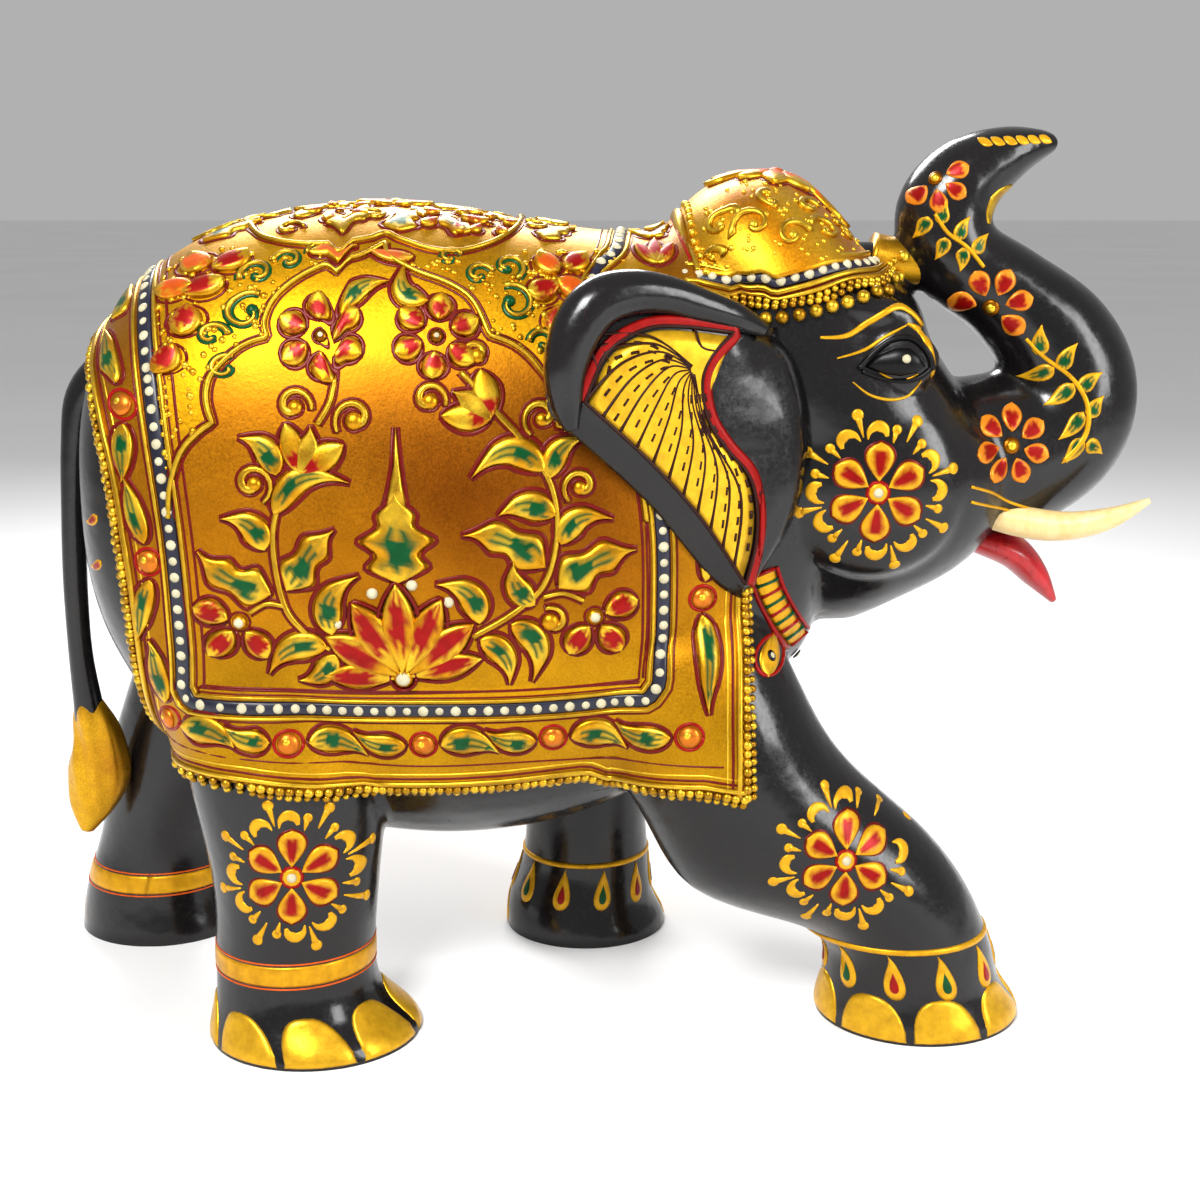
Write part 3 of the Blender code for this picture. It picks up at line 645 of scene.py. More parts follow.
class Relief:
    """Collects many small painted or raised shapes on a surface into one piece.

    place(u, v) gives a point of the surface and its normal for a drawing position in mm.
    A paint is (colour, share of metal)."""

    def __init__(self, place):
        self.place = place
        self.points, self.faces, self.paints = [], [], []

    def at(self, u, v, height):
        hit = self.place(u, v)
        return hit and hit[0] + hit[1] * height

    def add(self, points, faces, paints):
        if any(point is None for point in points):
            return
        start = len(self.points)
        self.points.extend(points)
        self.faces.extend([tuple(start + index for index in face) for face in faces])
        self.paints.extend(paints)

    def band(self, path, half_width, height, paint, across=7, sink=SINK, base=0.0):
        """A domed strip along a path; half_width may depend on the share s along it, and paint
        on s and on c, which runs from -1 to 1 across."""
        count = len(path)
        points, paints = [], []
        for index, (u, v) in enumerate(path):
            s = index / (count - 1)
            du, dv = side_vector(path, index)
            half = half_width(s) if callable(half_width) else half_width
            for step in range(across):
                c = 2 * step / (across - 1) - 1
                rise = -sink if abs(c) == 1 else base + height * (1 - c * c) ** 0.4
                points.append(self.at(u + du * half * c, v + dv * half * c, rise))
                paints.append(paint(s, c) if callable(paint) else paint)
        faces = [tuple(range(across)),
                 tuple(range((count - 1) * across, count * across))[::-1]]
        for index in range(count - 1):
            a, b = index * across, (index + 1) * across
            faces.append((a, b, b + across - 1, a + across - 1))
            for step in range(across - 1):
                faces.append((a + step, a + step + 1, b + step + 1, b + step))
        self.add(points, faces, paints)

    def blob(self, outline, height, paint, rings, base=0.0, flat=0.5):
        """A filled shape inside a closed outline, swelling to height in its middle."""
        count = len(outline)
        middle_u = sum(p[0] for p in outline) / count
        middle_v = sum(p[1] for p in outline) / count
        points = [self.at(middle_u, middle_v, base + height)]
        paints = [paint(0.0, 0.0) if callable(paint) else paint]
        for ring in range(1, rings + 1):
            share = ring / rings
            rise = -SINK if ring == rings else base + height * (1 - share ** 2) ** flat
            for index, (u, v) in enumerate(outline):
                points.append(self.at(middle_u + (u - middle_u) * share,
                                      middle_v + (v - middle_v) * share, rise))
                paints.append(paint(share, index / count) if callable(paint) else paint)
        self.add(points, dome_faces(count, rings) + [last_ring(count, rings)], paints)

    def bead(self, u, v, radius, paint, squash, rings=4, sides=10, base=0.0):
        """A round paste dot, sunk a little into the surface."""
        hit = self.place(u, v)
        if hit is None:
            return
        point, normal = hit
        side = normal.orthogonal().normalized()
        other = normal.cross(side)
        points = [point + normal * (radius * squash + base)]
        for ring in range(1, rings + 1):
            angle = ring / rings * math.radians(112)
            for index in range(sides):
                turn = 2 * math.pi * index / sides
                out = side * math.cos(turn) + other * math.sin(turn)
                points.append(point + out * radius * math.sin(angle)
                              + normal * (radius * squash * math.cos(angle) + base))
        faces = dome_faces(sides, rings) + [last_ring(sides, rings)]
        self.add(points, faces, [paint] * len(points))

    def build(self, name, slot="gold_paint", replaced=(), material="paint"):
        mesh = closed_mesh(self.points, self.faces, name)
        mesh.color_attributes.new("Paint", "FLOAT_COLOR", "POINT")
        mesh.attributes.new("Metal", "FLOAT", "POINT")
        colours = [part for colour, _ in self.paints for part in (*colour, 1.0)]
        mesh.attributes["Paint"].data.foreach_set("color", colours)
        mesh.attributes["Metal"].data.foreach_set("value", [metal for _, metal in self.paints])
        add_piece(name, mesh, material, slot, *replaced)


# ---- drawn shapes ----
METAL = 0.9
RED_METAL, GREEN_METAL = 0.3, 0.2


def mixed(a, b, share):
    share = min(max(share, 0.0), 1.0)
    return tuple(x + (y - x) * share for x, y in zip(a, b))


def gold_paint(seed):
    """Gold that varies between deep and pale along and across a stroke."""
    def paint(s, c):
        share = 0.55 + 0.35 * math.sin(9 * s + seed) * math.cos(3 * c)
        return mixed(GOLD_DEEP, GOLD_PALE, share), METAL
    return paint


def brushed(core, start, end, reach, seed, rim=GOLD, rim_metal=METAL, rough=1.0):
    """Gold with ragged brush strokes of a core colour between two shares of the length."""
    core_metal = GREEN_METAL if core == GREEN else RED_METAL

    def paint(s, c):
        middle, half = (start + end) / 2, (end - start) / 2
        ragged = rough * (0.2 * math.sin(11 * c + 5 * seed)
                          + 0.12 * math.sin(23 * s + 9 * c + seed))
        depth = max(abs(s - middle) / half, abs(c) / reach) + ragged
        share = min(max((1.08 - depth) / 0.22, 0.0), 1.0)
        if core == GREEN and math.cos(4 * math.pi * c + 5 * s) < -0.75:
            share *= 0.35
        light = mixed(rim, GOLD_PALE, 0.35 + 0.4 * math.sin(7 * s + seed)) if rim == GOLD else rim
        return mixed(light, core, share), rim_metal + (core_metal - rim_metal) * share
    return paint


def turned(points, angle, at):
    """Points drawn along +u from 0, turned by an angle in degrees and moved to at."""
    c, s = math.cos(math.radians(angle)), math.sin(math.radians(angle))
    return [(at[0] + u * c - v * s, at[1] + u * s + v * c) for u, v in points]


def polar(at, angle, distance):
    return (at[0] + distance * math.cos(math.radians(angle)),
            at[1] + distance * math.sin(math.radians(angle)))


def outline_of(path, half_width, grow):
    """The closed line round a strip, grown outward."""
    left, right = [], []
    for index, (u, v) in enumerate(path):
        du, dv = side_vector(path, index)
        half = half_width(index / (len(path) - 1)) if callable(half_width) else half_width
        left.append((u + du * (half + grow), v + dv * (half + grow)))
        right.append((u - du * (half + grow), v - dv * (half + grow)))
    return left + right[::-1] + [left[0]]


def line(relief, path, half=0.26, height=0.14, colour=DARK_RED, base=0.0, metal=0.1):
    relief.band(path, half, height, (colour, metal), across=5, sink=0.08, base=base)


def cord(relief, path, half, height, seed=0.0):
    """A round gold cord."""
    relief.band(path, half, height, gold_paint(seed))


def outlined_band(relief, path, half, height, paint, base=0.0):
    line(relief, outline_of(path, half, 0.34), 0.46, 0.16, DARK_RED, base)
    relief.band(path, half, height, paint, across=9, base=base)


def leaf(relief, at, angle, length, width, bend=0.0, hook=0.0, core=GREEN, lobes=0, seed=0.0,
         height=0.75, end=0.74):
    """A raised gold leaf with a brushed core and a painted outline.

    bend bows it to its left and hook curls its tip there, as shares of its length."""
    path = []
    for index in range(25):
        s = index / 24
        path.append((length * s, length * (bend * math.sin(math.pi * s) + hook * s ** 4)))
    path = turned(path, angle, at)

    def half(s):
        body = math.sin(math.pi * s ** 0.72) ** 0.85 if 0 < s < 1 else 0.0
        if s > 0.72:
            body *= 1 - 0.45 * (s - 0.72) / 0.28
        if lobes:
            body *= 1 + 0.26 * math.sin(2 * math.pi * lobes * s - 1.2)
        return max(width / 2 * body, 0.07)

    paint = brushed(core, 0.16, end, 0.5, seed) if core else gold_paint(seed)
    outlined_band(relief, path, half, height, paint)


def petal(relief, at, angle, length, width, core=RED, seed=0.0, height=0.85, outline=True,
          base=0.0, start=0.2, end=0.86, blunt=0.95, power=0.7, rim=GOLD, reach=0.7,
          rough=1.0):
    """A petal from at outward; blunt above 1 moves its widest part towards its tip."""
    path = turned([(length * i / 12, 0) for i in range(13)], angle, at)

    def half(s):
        body = math.sin(math.pi * s ** blunt) if 0 < s < 1 else 0.0
        return max(width / 2 * body ** power, 0.08)

    paint = brushed(core, start, end, reach, seed, rim, METAL if rim == GOLD else 0.3, rough)
    if outline:
        outlined_band(relief, path, half, height, paint, base)
    else:
        relief.band(path, half, height, paint, across=9, base=base)


def circle(at, radius, count=20):
    return [polar(at, 360 * i / count, radius) for i in range(count + 1)]


def spiral(at, radius, end_radius, start, sweep):
    """A curl from a point at radius and angle start, sweeping by an angle, all in degrees."""
    shares = [index / 18 for index in range(19)]
    return [polar(at, start + sweep * s, radius + (end_radius - radius) * s) for s in shares]


def curl(relief, path, thick, bulb, core, seed):
    """A tendril that swells towards a round bulb, which may have a coloured middle."""
    def half(s):
        return thick * (0.4 + 0.6 * s)
    line(relief, outline_of(path, half, 0.24), 0.3, 0.13)
    relief.band(path, half, 0.6, gold_paint(seed))
    end = path[-1]
    line(relief, circle(end, bulb + 0.2, 16), 0.3, 0.13)
    relief.bead(*end, bulb, (GOLD, METAL), 0.65)
    if core:
        relief.bead(*end, bulb * 0.55, (core, RED_METAL), 0.6, base=bulb * 0.28)


def stem(relief, points, half, seed):
    """A gold stalk between two painted lines."""
    path = spline(points)
    line(relief, shifted(path, half + 0.24), 0.28, 0.13)
    line(relief, shifted(path, -half - 0.24), 0.28, 0.13)
    relief.band(path, half, 0.5, gold_paint(seed))


def blossom(relief, at, count, reach, length, width, turn, core, eye, seed, eye_radius=0.9):
    """Rounded petals round a dotted middle."""
    for index in range(count):
        angle = turn + 360 * index / count
        petal(relief, polar(at, angle, reach - length / 2), angle, length, width, core,
              seed + index, 1.0, start=0.1, end=0.62, blunt=1.1, power=0.5)
    line(relief, circle(at, eye_radius + 0.5, 16), 0.3, 0.14)
    relief.bead(*at, eye_radius + 0.3, (GOLD_DEEP, METAL), 0.7)
    relief.bead(*at, eye_radius * 0.72, (eye, 0.0), 0.8, base=eye_radius * 0.45)


# ---- the carved wood ----
LEG_JOINT_Z = 44.0
FOOT_TOP = 20.0
NECK_LEAN = 16.5
# each leg's block: (low x, high x, low y, high y)
LEG_BLOCKS = {
    "front_right_leg": (-2, 90, -60, -2), "hind_right_leg": (-77, -35, -60, -6),
    "front_left_leg": (-24, 19, 6, 60), "hind_left_leg": (-125, -62, 6, 60),
}
REACH = 200.0


def box_mesh(low, high, matrix=Matrix.Identity(4)):
    work = bmesh.new()
    bmesh.ops.create_cube(work, size=1.0)
    low, high = Vector(low), Vector(high)
    for vertex in work.verts:
        vertex.co = matrix @ Vector(low[i] + (vertex.co[i] + 0.5) * (high[i] - low[i])
                                    for i in range(3))
    return mesh_of(work, "box")


def cut(mesh, tools, operation):
    """The mesh cut by each tool mesh in turn."""
    item = bpy.data.objects.new("cut", mesh)
    bpy.context.scene.collection.objects.link(item)
    helpers = []
    for tool in tools:
        helper = bpy.data.objects.new("tool", tool)
        bpy.context.scene.collection.objects.link(helper)
        helpers.append(helper)
        step = item.modifiers.new("cut", "BOOLEAN")
        step.operation = operation
        step.object = helper
        step.solver = "MANIFOLD"
    result = evaluated_mesh(item)
    for helper in [item, *helpers]:
        bpy.data.objects.remove(helper, do_unlink=True)
    return result


def leg_box(name):
    """The block that a leg is sawn from, wider round its foot."""
    x0, x1, y0, y1 = LEG_BLOCKS[name]
    block = box_mesh((x0, y0, -5), (x1, y1, LEG_JOINT_Z))
    foot = box_mesh((x0 - 8, y0 - 4, -6), (x1 + 8, y1 + 4, FOOT_TOP))
    return cut(block, [foot], "UNION")


def make_wood():
    """The lacquered body pieces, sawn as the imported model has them, with hairline joints."""
    neck = (Matrix.Translation(NECK_DOWEL_AT)
            @ Matrix.Rotation(-math.radians(NECK_LEAN), 4, "Y"))
    head_box = box_mesh((0, -REACH, -40), (REACH, REACH, REACH), neck)
    skin = SKIN.mesh
    head = cut(skin.copy(), [head_box.copy()], "INTERSECT")
    add_piece("head_wood", head, "lacquer", "black_lacquer", "head", sharp=SHARP_ANGLE)
    torso = cut(skin.copy(), [head_box] + [leg_box(name) for name in LEG_BLOCKS], "DIFFERENCE")
    add_piece("torso_wood", torso, "lacquer", "black_lacquer", "torso", sharp=SHARP_ANGLE)
    for name in LEG_BLOCKS:
        leg = cut(skin.copy(), [leg_box(name)], "INTERSECT")
        leg = cut(leg, [box_mesh((-REACH, -REACH, 0), (REACH, REACH, REACH))], "INTERSECT")
        add_piece(f"{name}_wood", leg, "lacquer", "black_lacquer", name, sharp=SHARP_ANGLE)


make_wood()


# ---- the saddle cloth ----
CLOTH_RISE = 1.6                # how far the cloth's face stands off the wood
# the cloth's lower edge as (t, v); its back and front edges as (v, t)
HEM = [(-77.0, 52.6), (-72.0, 52.0), (-62.6, 51.4), (-55.2, 50.2), (-46.8, 49.0), (-40.0, 48.4),
       (-26.4, 48.4), (-17.4, 48.8), (-8.4, 49.6), (-2.8, 50.0), (0.8, 48.4), (9.6, 48.6),
       (18.4, 49.0), (25.4, 47.8)]
CLOTH_BACK = [(50.0, -75.8), (64.0, -77.2), (78.4, -78.4), (96.0, -80.2), (110.8, -80.8),
              (121.8, -81.8), (135.0, -83.5), (150.0, -84.5)]
CLOTH_FRONT = [(47.0, 25.2), (64.0, 24.6), (80.0, 24.2), (100.0, 24.6), (120.0, 21.0),
               (136.0, 16.8), (162.0, 14.6)]


def cloth_spot(k, share, side=RIGHT):
    """(t, v) on the cloth: k from its back edge to its front, share from its hem to the spine."""
    level = 50.0 + share * 112.0
    back, front = interpolate(CLOTH_BACK, level), interpolate(CLOTH_FRONT, level)
    t = back + (front - back) * k
    low = interpolate(HEM, t)
    return t, low + (BODY.spine(t, side) - low) * share


def cloth_place(side, rise=CLOTH_RISE):
    def place(t, v):
        hit = BODY.hit(t, v, side)
        return hit and (hit[0] + hit[1] * rise, hit[1])
    return place


def inside(outline, u, v):
    """Whether (u, v) lies inside a closed outline."""
    found = False
    for (u0, v0), (u1, v1) in zip(outline, outline[1:] + outline[:1]):
        if (v0 > v) != (v1 > v) and u < u0 + (v - v0) / (v1 - v0) * (u1 - u0):
            found = not found
    return found


ARCH_LEFT = spline([(-71.2, 97.0), (-70.6, 102.0), (-68.4, 107.8), (-65.4, 111.2),
                    (-63.4, 112.6)], 4)[:-1] + spline(
    [(-63.4, 112.6), (-64.2, 116.4), (-63.4, 120.4), (-60.6, 124.2), (-57.8, 125.9),
     (-55.0, 126.6)], 4)[:-1] + spline(
    [(-55.0, 126.6), (-55.6, 129.6), (-54.0, 133.6), (-50.0, 137.4), (-44.6, 140.4),
     (-40.4, 141.6), (-36.6, 144.6)], 4)
ARCH_RIGHT = spline([(-36.6, 144.6), (-35.6, 141.6), (-31.0, 138.6), (-25.4, 136.4),
                     (-21.4, 133.4), (-18.6, 127.6)], 4)[:-1] + spline(
    [(-18.6, 127.6), (-14.4, 126.2), (-10.8, 123.2), (-8.4, 118.6), (-7.2, 112.0)], 4)[:-1] + spline(
    [(-7.2, 112.0), (-2.6, 111.2), (2.6, 108.0), (6.2, 103.0), (7.4, 96.0)], 4)
PANEL = ARCH_LEFT + ARCH_RIGHT + [(7.6, 67.8), (-67.2, 67.2)]
MEDALLION = spline([(-61.4, 165.5), (-61.8, 159.0), (-60.5, 153.5), (-59.0, 149.4),
                    (-56.4, 146.6), (-51.0, 144.6), (-44.6, 144.5), (-38.8, 146.0)],
                   4)[:-1] + spline(
    [(-38.8, 146.0), (-36.6, 147.4), (-34.6, 146.0)], 3)[:-1] + spline(
    [(-34.6, 146.0), (-29.0, 143.6), (-23.8, 143.6), (-18.6, 146.6), (-15.4, 151.4),
     (-14.4, 158.0), (-14.8, 164.6)], 4)
PEARL_LINE = (spline([(-75.2, 153.0), (-73.6, 140.0), (-72.6, 126.0), (-71.8, 104.0),
                      (-70.6, 84.4), (-69.4, 67.0)], 5)
              + spline([(-68.0, 64.4), (-51.6, 64.0), (-31.0, 63.8), (-12.4, 63.8), (8.6, 64.8)], 5)
              + spline([(10.4, 67.6), (10.4, 78.0), (10.2, 94.0), (8.0, 108.0), (3.6, 122.0),
                        (-0.6, 133.0), (-1.6, 139.0), (2.4, 145.0), (3.4, 152.0), (3.8, 160.0)], 5))


PANEL_GOLD, PANEL_BRONZE = srgb(198, 132, 16), srgb(142, 78, 12)
HEM_GOLD, BORDER_GOLD, SPANDREL_GOLD = srgb(194, 146, 18), srgb(178, 118, 18), srgb(218, 166, 16)


def ground_tone(t, v):
    """The cloth's painted gold: pale above, bronze in the panel's middle, yellow at the hem."""
    wobble = 0.5 + 0.25 * math.sin(0.21 * t + 1.7 * math.sin(0.07 * v)) \
        + 0.25 * math.sin(0.17 * v + 0.13 * t)
    if inside(PANEL, t, v):
        deep = math.exp(-((t + 12) / 34) ** 2 - ((v - 104) / 22) ** 2)
        tone = mixed(PANEL_GOLD, PANEL_BRONZE, 0.25 + 0.75 * deep + 0.25 * (wobble - 0.5))
        low = min(max((84 - v) / 14, 0.0), 1.0)
        tone = mixed(tone, HEM_GOLD, 0.75 * low)
        high = min(max((v - 122) / 14, 0.0), 1.0)
        return mixed(tone, SPANDREL_GOLD, high * 0.85)
    if v < 66 or t > 9 or t < -72:
        climb = min(max((v - 60) / 30, 0.0), 1.0)
        hem = mixed(HEM_GOLD, PANEL_GOLD, 0.3 * wobble)
        return mixed(hem, mixed(BORDER_GOLD, PANEL_BRONZE, 0.3 * wobble), climb)
    return mixed(SPANDREL_GOLD, PANEL_GOLD, 0.5 * wobble)


def sheet_faces(wide, tall):
    """Faces of a closed sheet whose upper points come first, row by row, then its lower ones."""
    layer = wide * tall
    faces = []
    for row in range(tall - 1):
        for column in range(wide - 1):
            a = row * wide + column
            faces.append((a, a + 1, a + wide + 1, a + wide))
            b = a + layer
            faces.append((b, b + wide, b + wide + 1, b + 1))
    rim = list(range(wide))
    rim += [row * wide + wide - 1 for row in range(1, tall)]
    rim += [(tall - 1) * wide + column for column in range(wide - 2, -1, -1)]
    rim += [row * wide for row in range(tall - 2, 0, -1)]
    for a, b in zip(rim, rim[1:] + rim[:1]):
        faces.append((b, a, a + layer, b + layer))
    return faces


def draped_sheet(name, replaced, form, columns, rows, spot, rises, tone):
    """A closed sheet over a form from hem to hem; rises gives its upper and lower face.

    spot(k, share, side) gives (t, v), each rise depends on k, and tone depends on t and v."""
    points, paints = [], []
    for rise in rises:
        for row in range(2 * rows + 1):
            side = RIGHT if row <= rows else LEFT
            share = row / rows if side == RIGHT else 2 - row / rows
            for column in range(columns + 1):
                k = column / columns
                t, v = spot(k, share, side)
                point, normal = form.hit(t, v, side)
                if share == 1:
                    point.y = 0
                points.append(point + normal * rise(k))
                paints.append((tone(t, v), METAL))
    ground = Relief(None)
    ground.add(points, sheet_faces(columns + 1, 2 * rows + 1), paints)
    ground.build(name, "gold_paint", (replaced,), "cloth")


def make_hem(side, label):
    """A cord and a double row of beads round the cloth's edge."""
    steps = 120
    bottom = [cloth_spot(i / steps, 0) for i in range(steps + 1)]
    back = [cloth_spot(0, i / steps) for i in range(steps, -1, -1)]
    front = [cloth_spot(1, i / steps) for i in range(0, int(0.42 * steps))]
    hem = Relief(cloth_place(side))
    low = Relief(cloth_place(side, 0.7))
    for path in (back, bottom, front):
        even = resample(path, 1.4)
        cord(hem, shifted(even, 0.9), 0.55, 0.6)
        line(hem, shifted(even, 2.0), 0.3, 0.14)
        line(hem, shifted(even, 2.9), 0.2, 0.12, GOLD_PALE, metal=METAL)
        for index, (t, v) in enumerate(resample(shifted(path, -0.35), 1.5)):
            hem.bead(t, v, 0.86 + 0.08 * math.sin(index * 2.3), gold_paint(index)(0.3, 0), 0.9)
        for index, (t, v) in enumerate(resample(shifted(path, -1.5), 1.5)):
            low.bead(t, v, 0.72 + 0.1 * math.sin(index * 1.7), gold_paint(index)(0.6, 0), 1.1)
    hem.build(f"{label}_hem_cord", "gold_paint", ("saddle_fringe",))
    low.build(f"{label}_hem_beads", "gold_paint", ("saddle_fringe",))


def make_pearl_band(side, label):
    """A dark band with white dots between two cords, with red lines outside them."""
    path = resample(PEARL_LINE, 1.2)
    band = Relief(cloth_place(side))
    band.band(path, 1.5, 0.28, (NAVY, 0.0), across=5)
    band.build(f"{label}_pearl_ground", "navy_paint", ("pearl_band",), "navy")
    trim = Relief(cloth_place(side))
    for way in (1, -1):
        cord(trim, shifted(path, way * 1.75), 0.36, 0.45, way)
        line(trim, shifted(path, way * 2.35), 0.22, 0.12)
    line(trim, shifted(path, 3.5), 0.3, 0.14)
    trim.build(f"{label}_pearl_cords")
    dots = Relief(cloth_place(side))
    for index, (t, v) in enumerate(resample(PEARL_LINE, 2.75)):
        dots.bead(t, v, 0.92 + 0.1 * math.sin(index * 2.9), (PEARL, 0.0), 0.75)
    dots.build(f"{label}_pearls", "ivory_paint")


def make_frames(side, label):
    """The cusped arch, the medallion on the back and the panel's inner lines."""
    frames = Relief(cloth_place(side))
    for path in (ARCH_LEFT, ARCH_RIGHT, MEDALLION):
        even = resample(path, 0.8)
        cord(frames, even, 0.5, 0.75)
        line(frames, shifted(even, 0.78), 0.28, 0.16)
        line(frames, shifted(even, -0.78), 0.28, 0.16)
    for steps, *inner in ((6, (-71.0, 97.0), (-69.6, 84.0), (-67.8, 69.0)),
                          (8, (-66.8, 67.4), (-34.4, 67.0), (7.0, 67.8)),
                          (6, (7.6, 68.6), (7.7, 84.0), (7.4, 96.0))):
        line(frames, spline(inner, steps), 0.28)
    frames.build(f"{label}_arch")


def make_lotus(side, label):
    """The lotus at the panel's foot, its pearls, and the cypress leaf above it."""
    relief = Relief(cloth_place(side))
    heart = (-33.4, 70.0)
    petals = ((178, 12.6, 4.8, 0.0), (14, 12.8, 4.6, 0.0), (150, 14.0, 6.2, 0.15),
              (38, 14.4, 6.0, 0.15), (122, 14.6, 6.4, 0.35), (64, 14.4, 6.2, 0.35),
              (93, 15.6, 6.4, 0.6))
    for index, (angle, length, width, base) in enumerate(petals):
        petal(relief, polar(heart, angle, 0.8), angle, length, width, RED, index * 1.3, 0.85,
              base=base, start=0.3, end=0.9, blunt=1.15, power=0.85, reach=0.6)
    line(relief, circle(heart, 2.2), 0.45, 0.9)
    relief.bead(*heart, 1.9, (GOLD, METAL), 0.8)
    relief.bead(*heart, 1.35, (PEARL, 0.0), 0.7, base=0.75)
    for t, v in ((-38.2, 84.6), (-31.6, 86.0), (-44.4, 79.4), (-45.6, 71.6), (-25.6, 83.0)):
        relief.bead(t, v, 1.0, (PEARL, 0.0), 0.7)
    leaf(relief, (-33.8, 86.4), 91, 15.0, 10.6, core=GREEN, lobes=3, seed=2, end=0.7)
    outlined_band(relief, [(-33.9, 99.0), (-33.8, 102.0), (-33.7, 106.0), (-33.8, 112.0)],
                  lambda s: 1.9 * (1 - s) ** 1.3 + 0.08, 0.55, gold_paint(1))
    relief.build(f"{label}_lotus")


def make_vines(side, label):
    """The two flowering vines on the panel."""
    relief = Relief(cloth_place(side))
    stem(relief, [(-45.6, 75.0), (-50.2, 78.4), (-53.2, 83.4), (-54.4, 94.6), (-51.6, 103.0),
                  (-47.0, 109.0)], 0.55, 1)
    stem(relief, [(-53.0, 82.4), (-56.0, 82.8), (-59.0, 81.2)], 0.45, 2)
    stem(relief, [(-46.6, 112.5), (-44.4, 116.4), (-43.8, 121.2)], 0.5, 3)
    stem(relief, [(-21.6, 77.0), (-15.0, 80.8), (-9.6, 85.8), (-7.4, 94.2), (-8.4, 102.6),
                  (-13.0, 109.6), (-17.6, 114.6), (-23.2, 121.0)], 0.55, 4)
    stem(relief, [(-9.8, 83.6), (-6.4, 84.2), (-3.0, 82.8)], 0.45, 5)
    # start, angle, length, width, bow, hook, lobes
    leaves = [
        ((-55.0, 84.6), 156, 13.6, 6.2, 0.05, -0.12, 2), ((-52.4, 85.2), 57, 13.0, 6.0, 0.0, -0.1, 2),
        ((-55.8, 92.0), 128, 8.4, 5.2, -0.1, 0.28, 0), ((-54.0, 98.0), 38, 13.0, 4.8, 0.16, -0.28, 0),
        ((-53.4, 104.4), 124, 8.4, 4.8, -0.1, 0.22, 0), ((-42.8, 131.2), 40, 9.0, 4.0, 0.14, -0.1, 0),
        ((-46.0, 75.6), 196, 11.2, 5.2, -0.12, 0.2, 0), ((-44.8, 74.2), 228, 7.8, 4.4, 0.1, -0.2, 0),
        ((-45.0, 77.6), 82, 10.6, 5.2, 0.14, -0.3, 0),
        ((-8.6, 103.6), 60, 8.6, 4.4, 0.12, -0.24, 0), ((-9.4, 104.8), 168, 11.6, 5.4, -0.2, 0.3, 0),
        ((-7.6, 97.6), 172, 9.4, 5.2, -0.1, 0.14, 0), ((-9.4, 88.8), 150, 14.6, 6.2, -0.06, 0.14, 2),
        ((-6.8, 92.6), 44, 9.0, 4.8, 0.14, -0.34, 0), ((-7.2, 85.2), 30, 14.2, 6.4, 0.05, -0.08, 2),
        ((-11.2, 82.4), 124, 8.0, 4.6, 0.1, -0.16, 0), ((-20.4, 79.4), 124, 9.6, 5.2, -0.16, 0.22, 0),
        ((-20.4, 76.6), 312, 9.2, 4.8, 0.12, -0.2, 0), ((-15.2, 79.2), 304, 10.4, 5.0, 0.16, -0.28, 0),
        ((-28.8, 133.0), 138, 8.0, 4.2, 0.22, -0.4, 0),
    ]
    for index, (at, angle, length, width, bow, hook, lobes) in enumerate(leaves):
        leaf(relief, at, angle, length, width, bow, hook, GREEN, lobes, index * 0.9)
    # curls: centre, first radius, start angle, sweep, bulb
    curls = [
        ((-57.6, 103.0), 3.6, -60, 400, 1.3), ((-50.6, 115.4), 3.2, -10, 330, 1.3),
        ((-40.4, 113.4), 3.6, 215, -330, 1.6), ((-9.8, 113.4), 3.4, 235, -330, 1.2),
        ((-3.4, 102.2), 3.2, 230, -350, 1.2), ((-28.4, 116.4), 3.0, -20, 330, 1.4),
        ((-8.2, 79.4), 2.6, 120, -280, 1.6), ((-20.6, 124.4), 2.6, 240, -300, 1.4),
    ]
    for index, (at, radius, start, sweep, bulb) in enumerate(curls):
        curl(relief, spiral(at, radius, 0.4, start, sweep), 0.95, bulb, RED, index)
    # trumpet flowers, with a long petal on each side of a gold tip
    for at, angle, seed in (((-49.6, 104.8), 70, 1), ((-18.2, 113.2), 140, 4)):
        petal(relief, at, angle + 36, 8.2, 4.6, RED, seed, start=0.1, end=0.4)
        petal(relief, at, angle - 38, 8.6, 5.0, RED, seed + 1, start=0.1, end=0.4)
        leaf(relief, at, angle, 7.6, 4.8, 0.0, 0.1, None, 0, seed, 0.9)
    blossom(relief, (-46.2, 126.8), 6, 5.1, 4.8, 4.4, 35, RED, PEARL, 1)
    blossom(relief, (-27.2, 127.0), 6, 5.1, 4.8, 4.4, 25, RED, PEARL, 3)
    for at, turns in (((-60.6, 79.6), (160, 232, 306)), ((-1.2, 80.0), (-54, -126, 22))):
        for index, angle in enumerate(turns):
            petal(relief, polar(at, angle, 1.8), angle, 5.8, 4.6, RED, index, 1.0, start=0.2,
                  end=0.8, blunt=1.2, power=0.5)
        line(relief, circle(at, 1.7, 16), 0.3)
        relief.bead(*at, 1.4, (GOLD, METAL), 0.8)
        relief.bead(*at, 0.95, (PEARL, 0.0), 0.8, base=0.6)
    relief.build(f"{label}_vines")


DISC_GOLD = srgb(206, 116, 34)


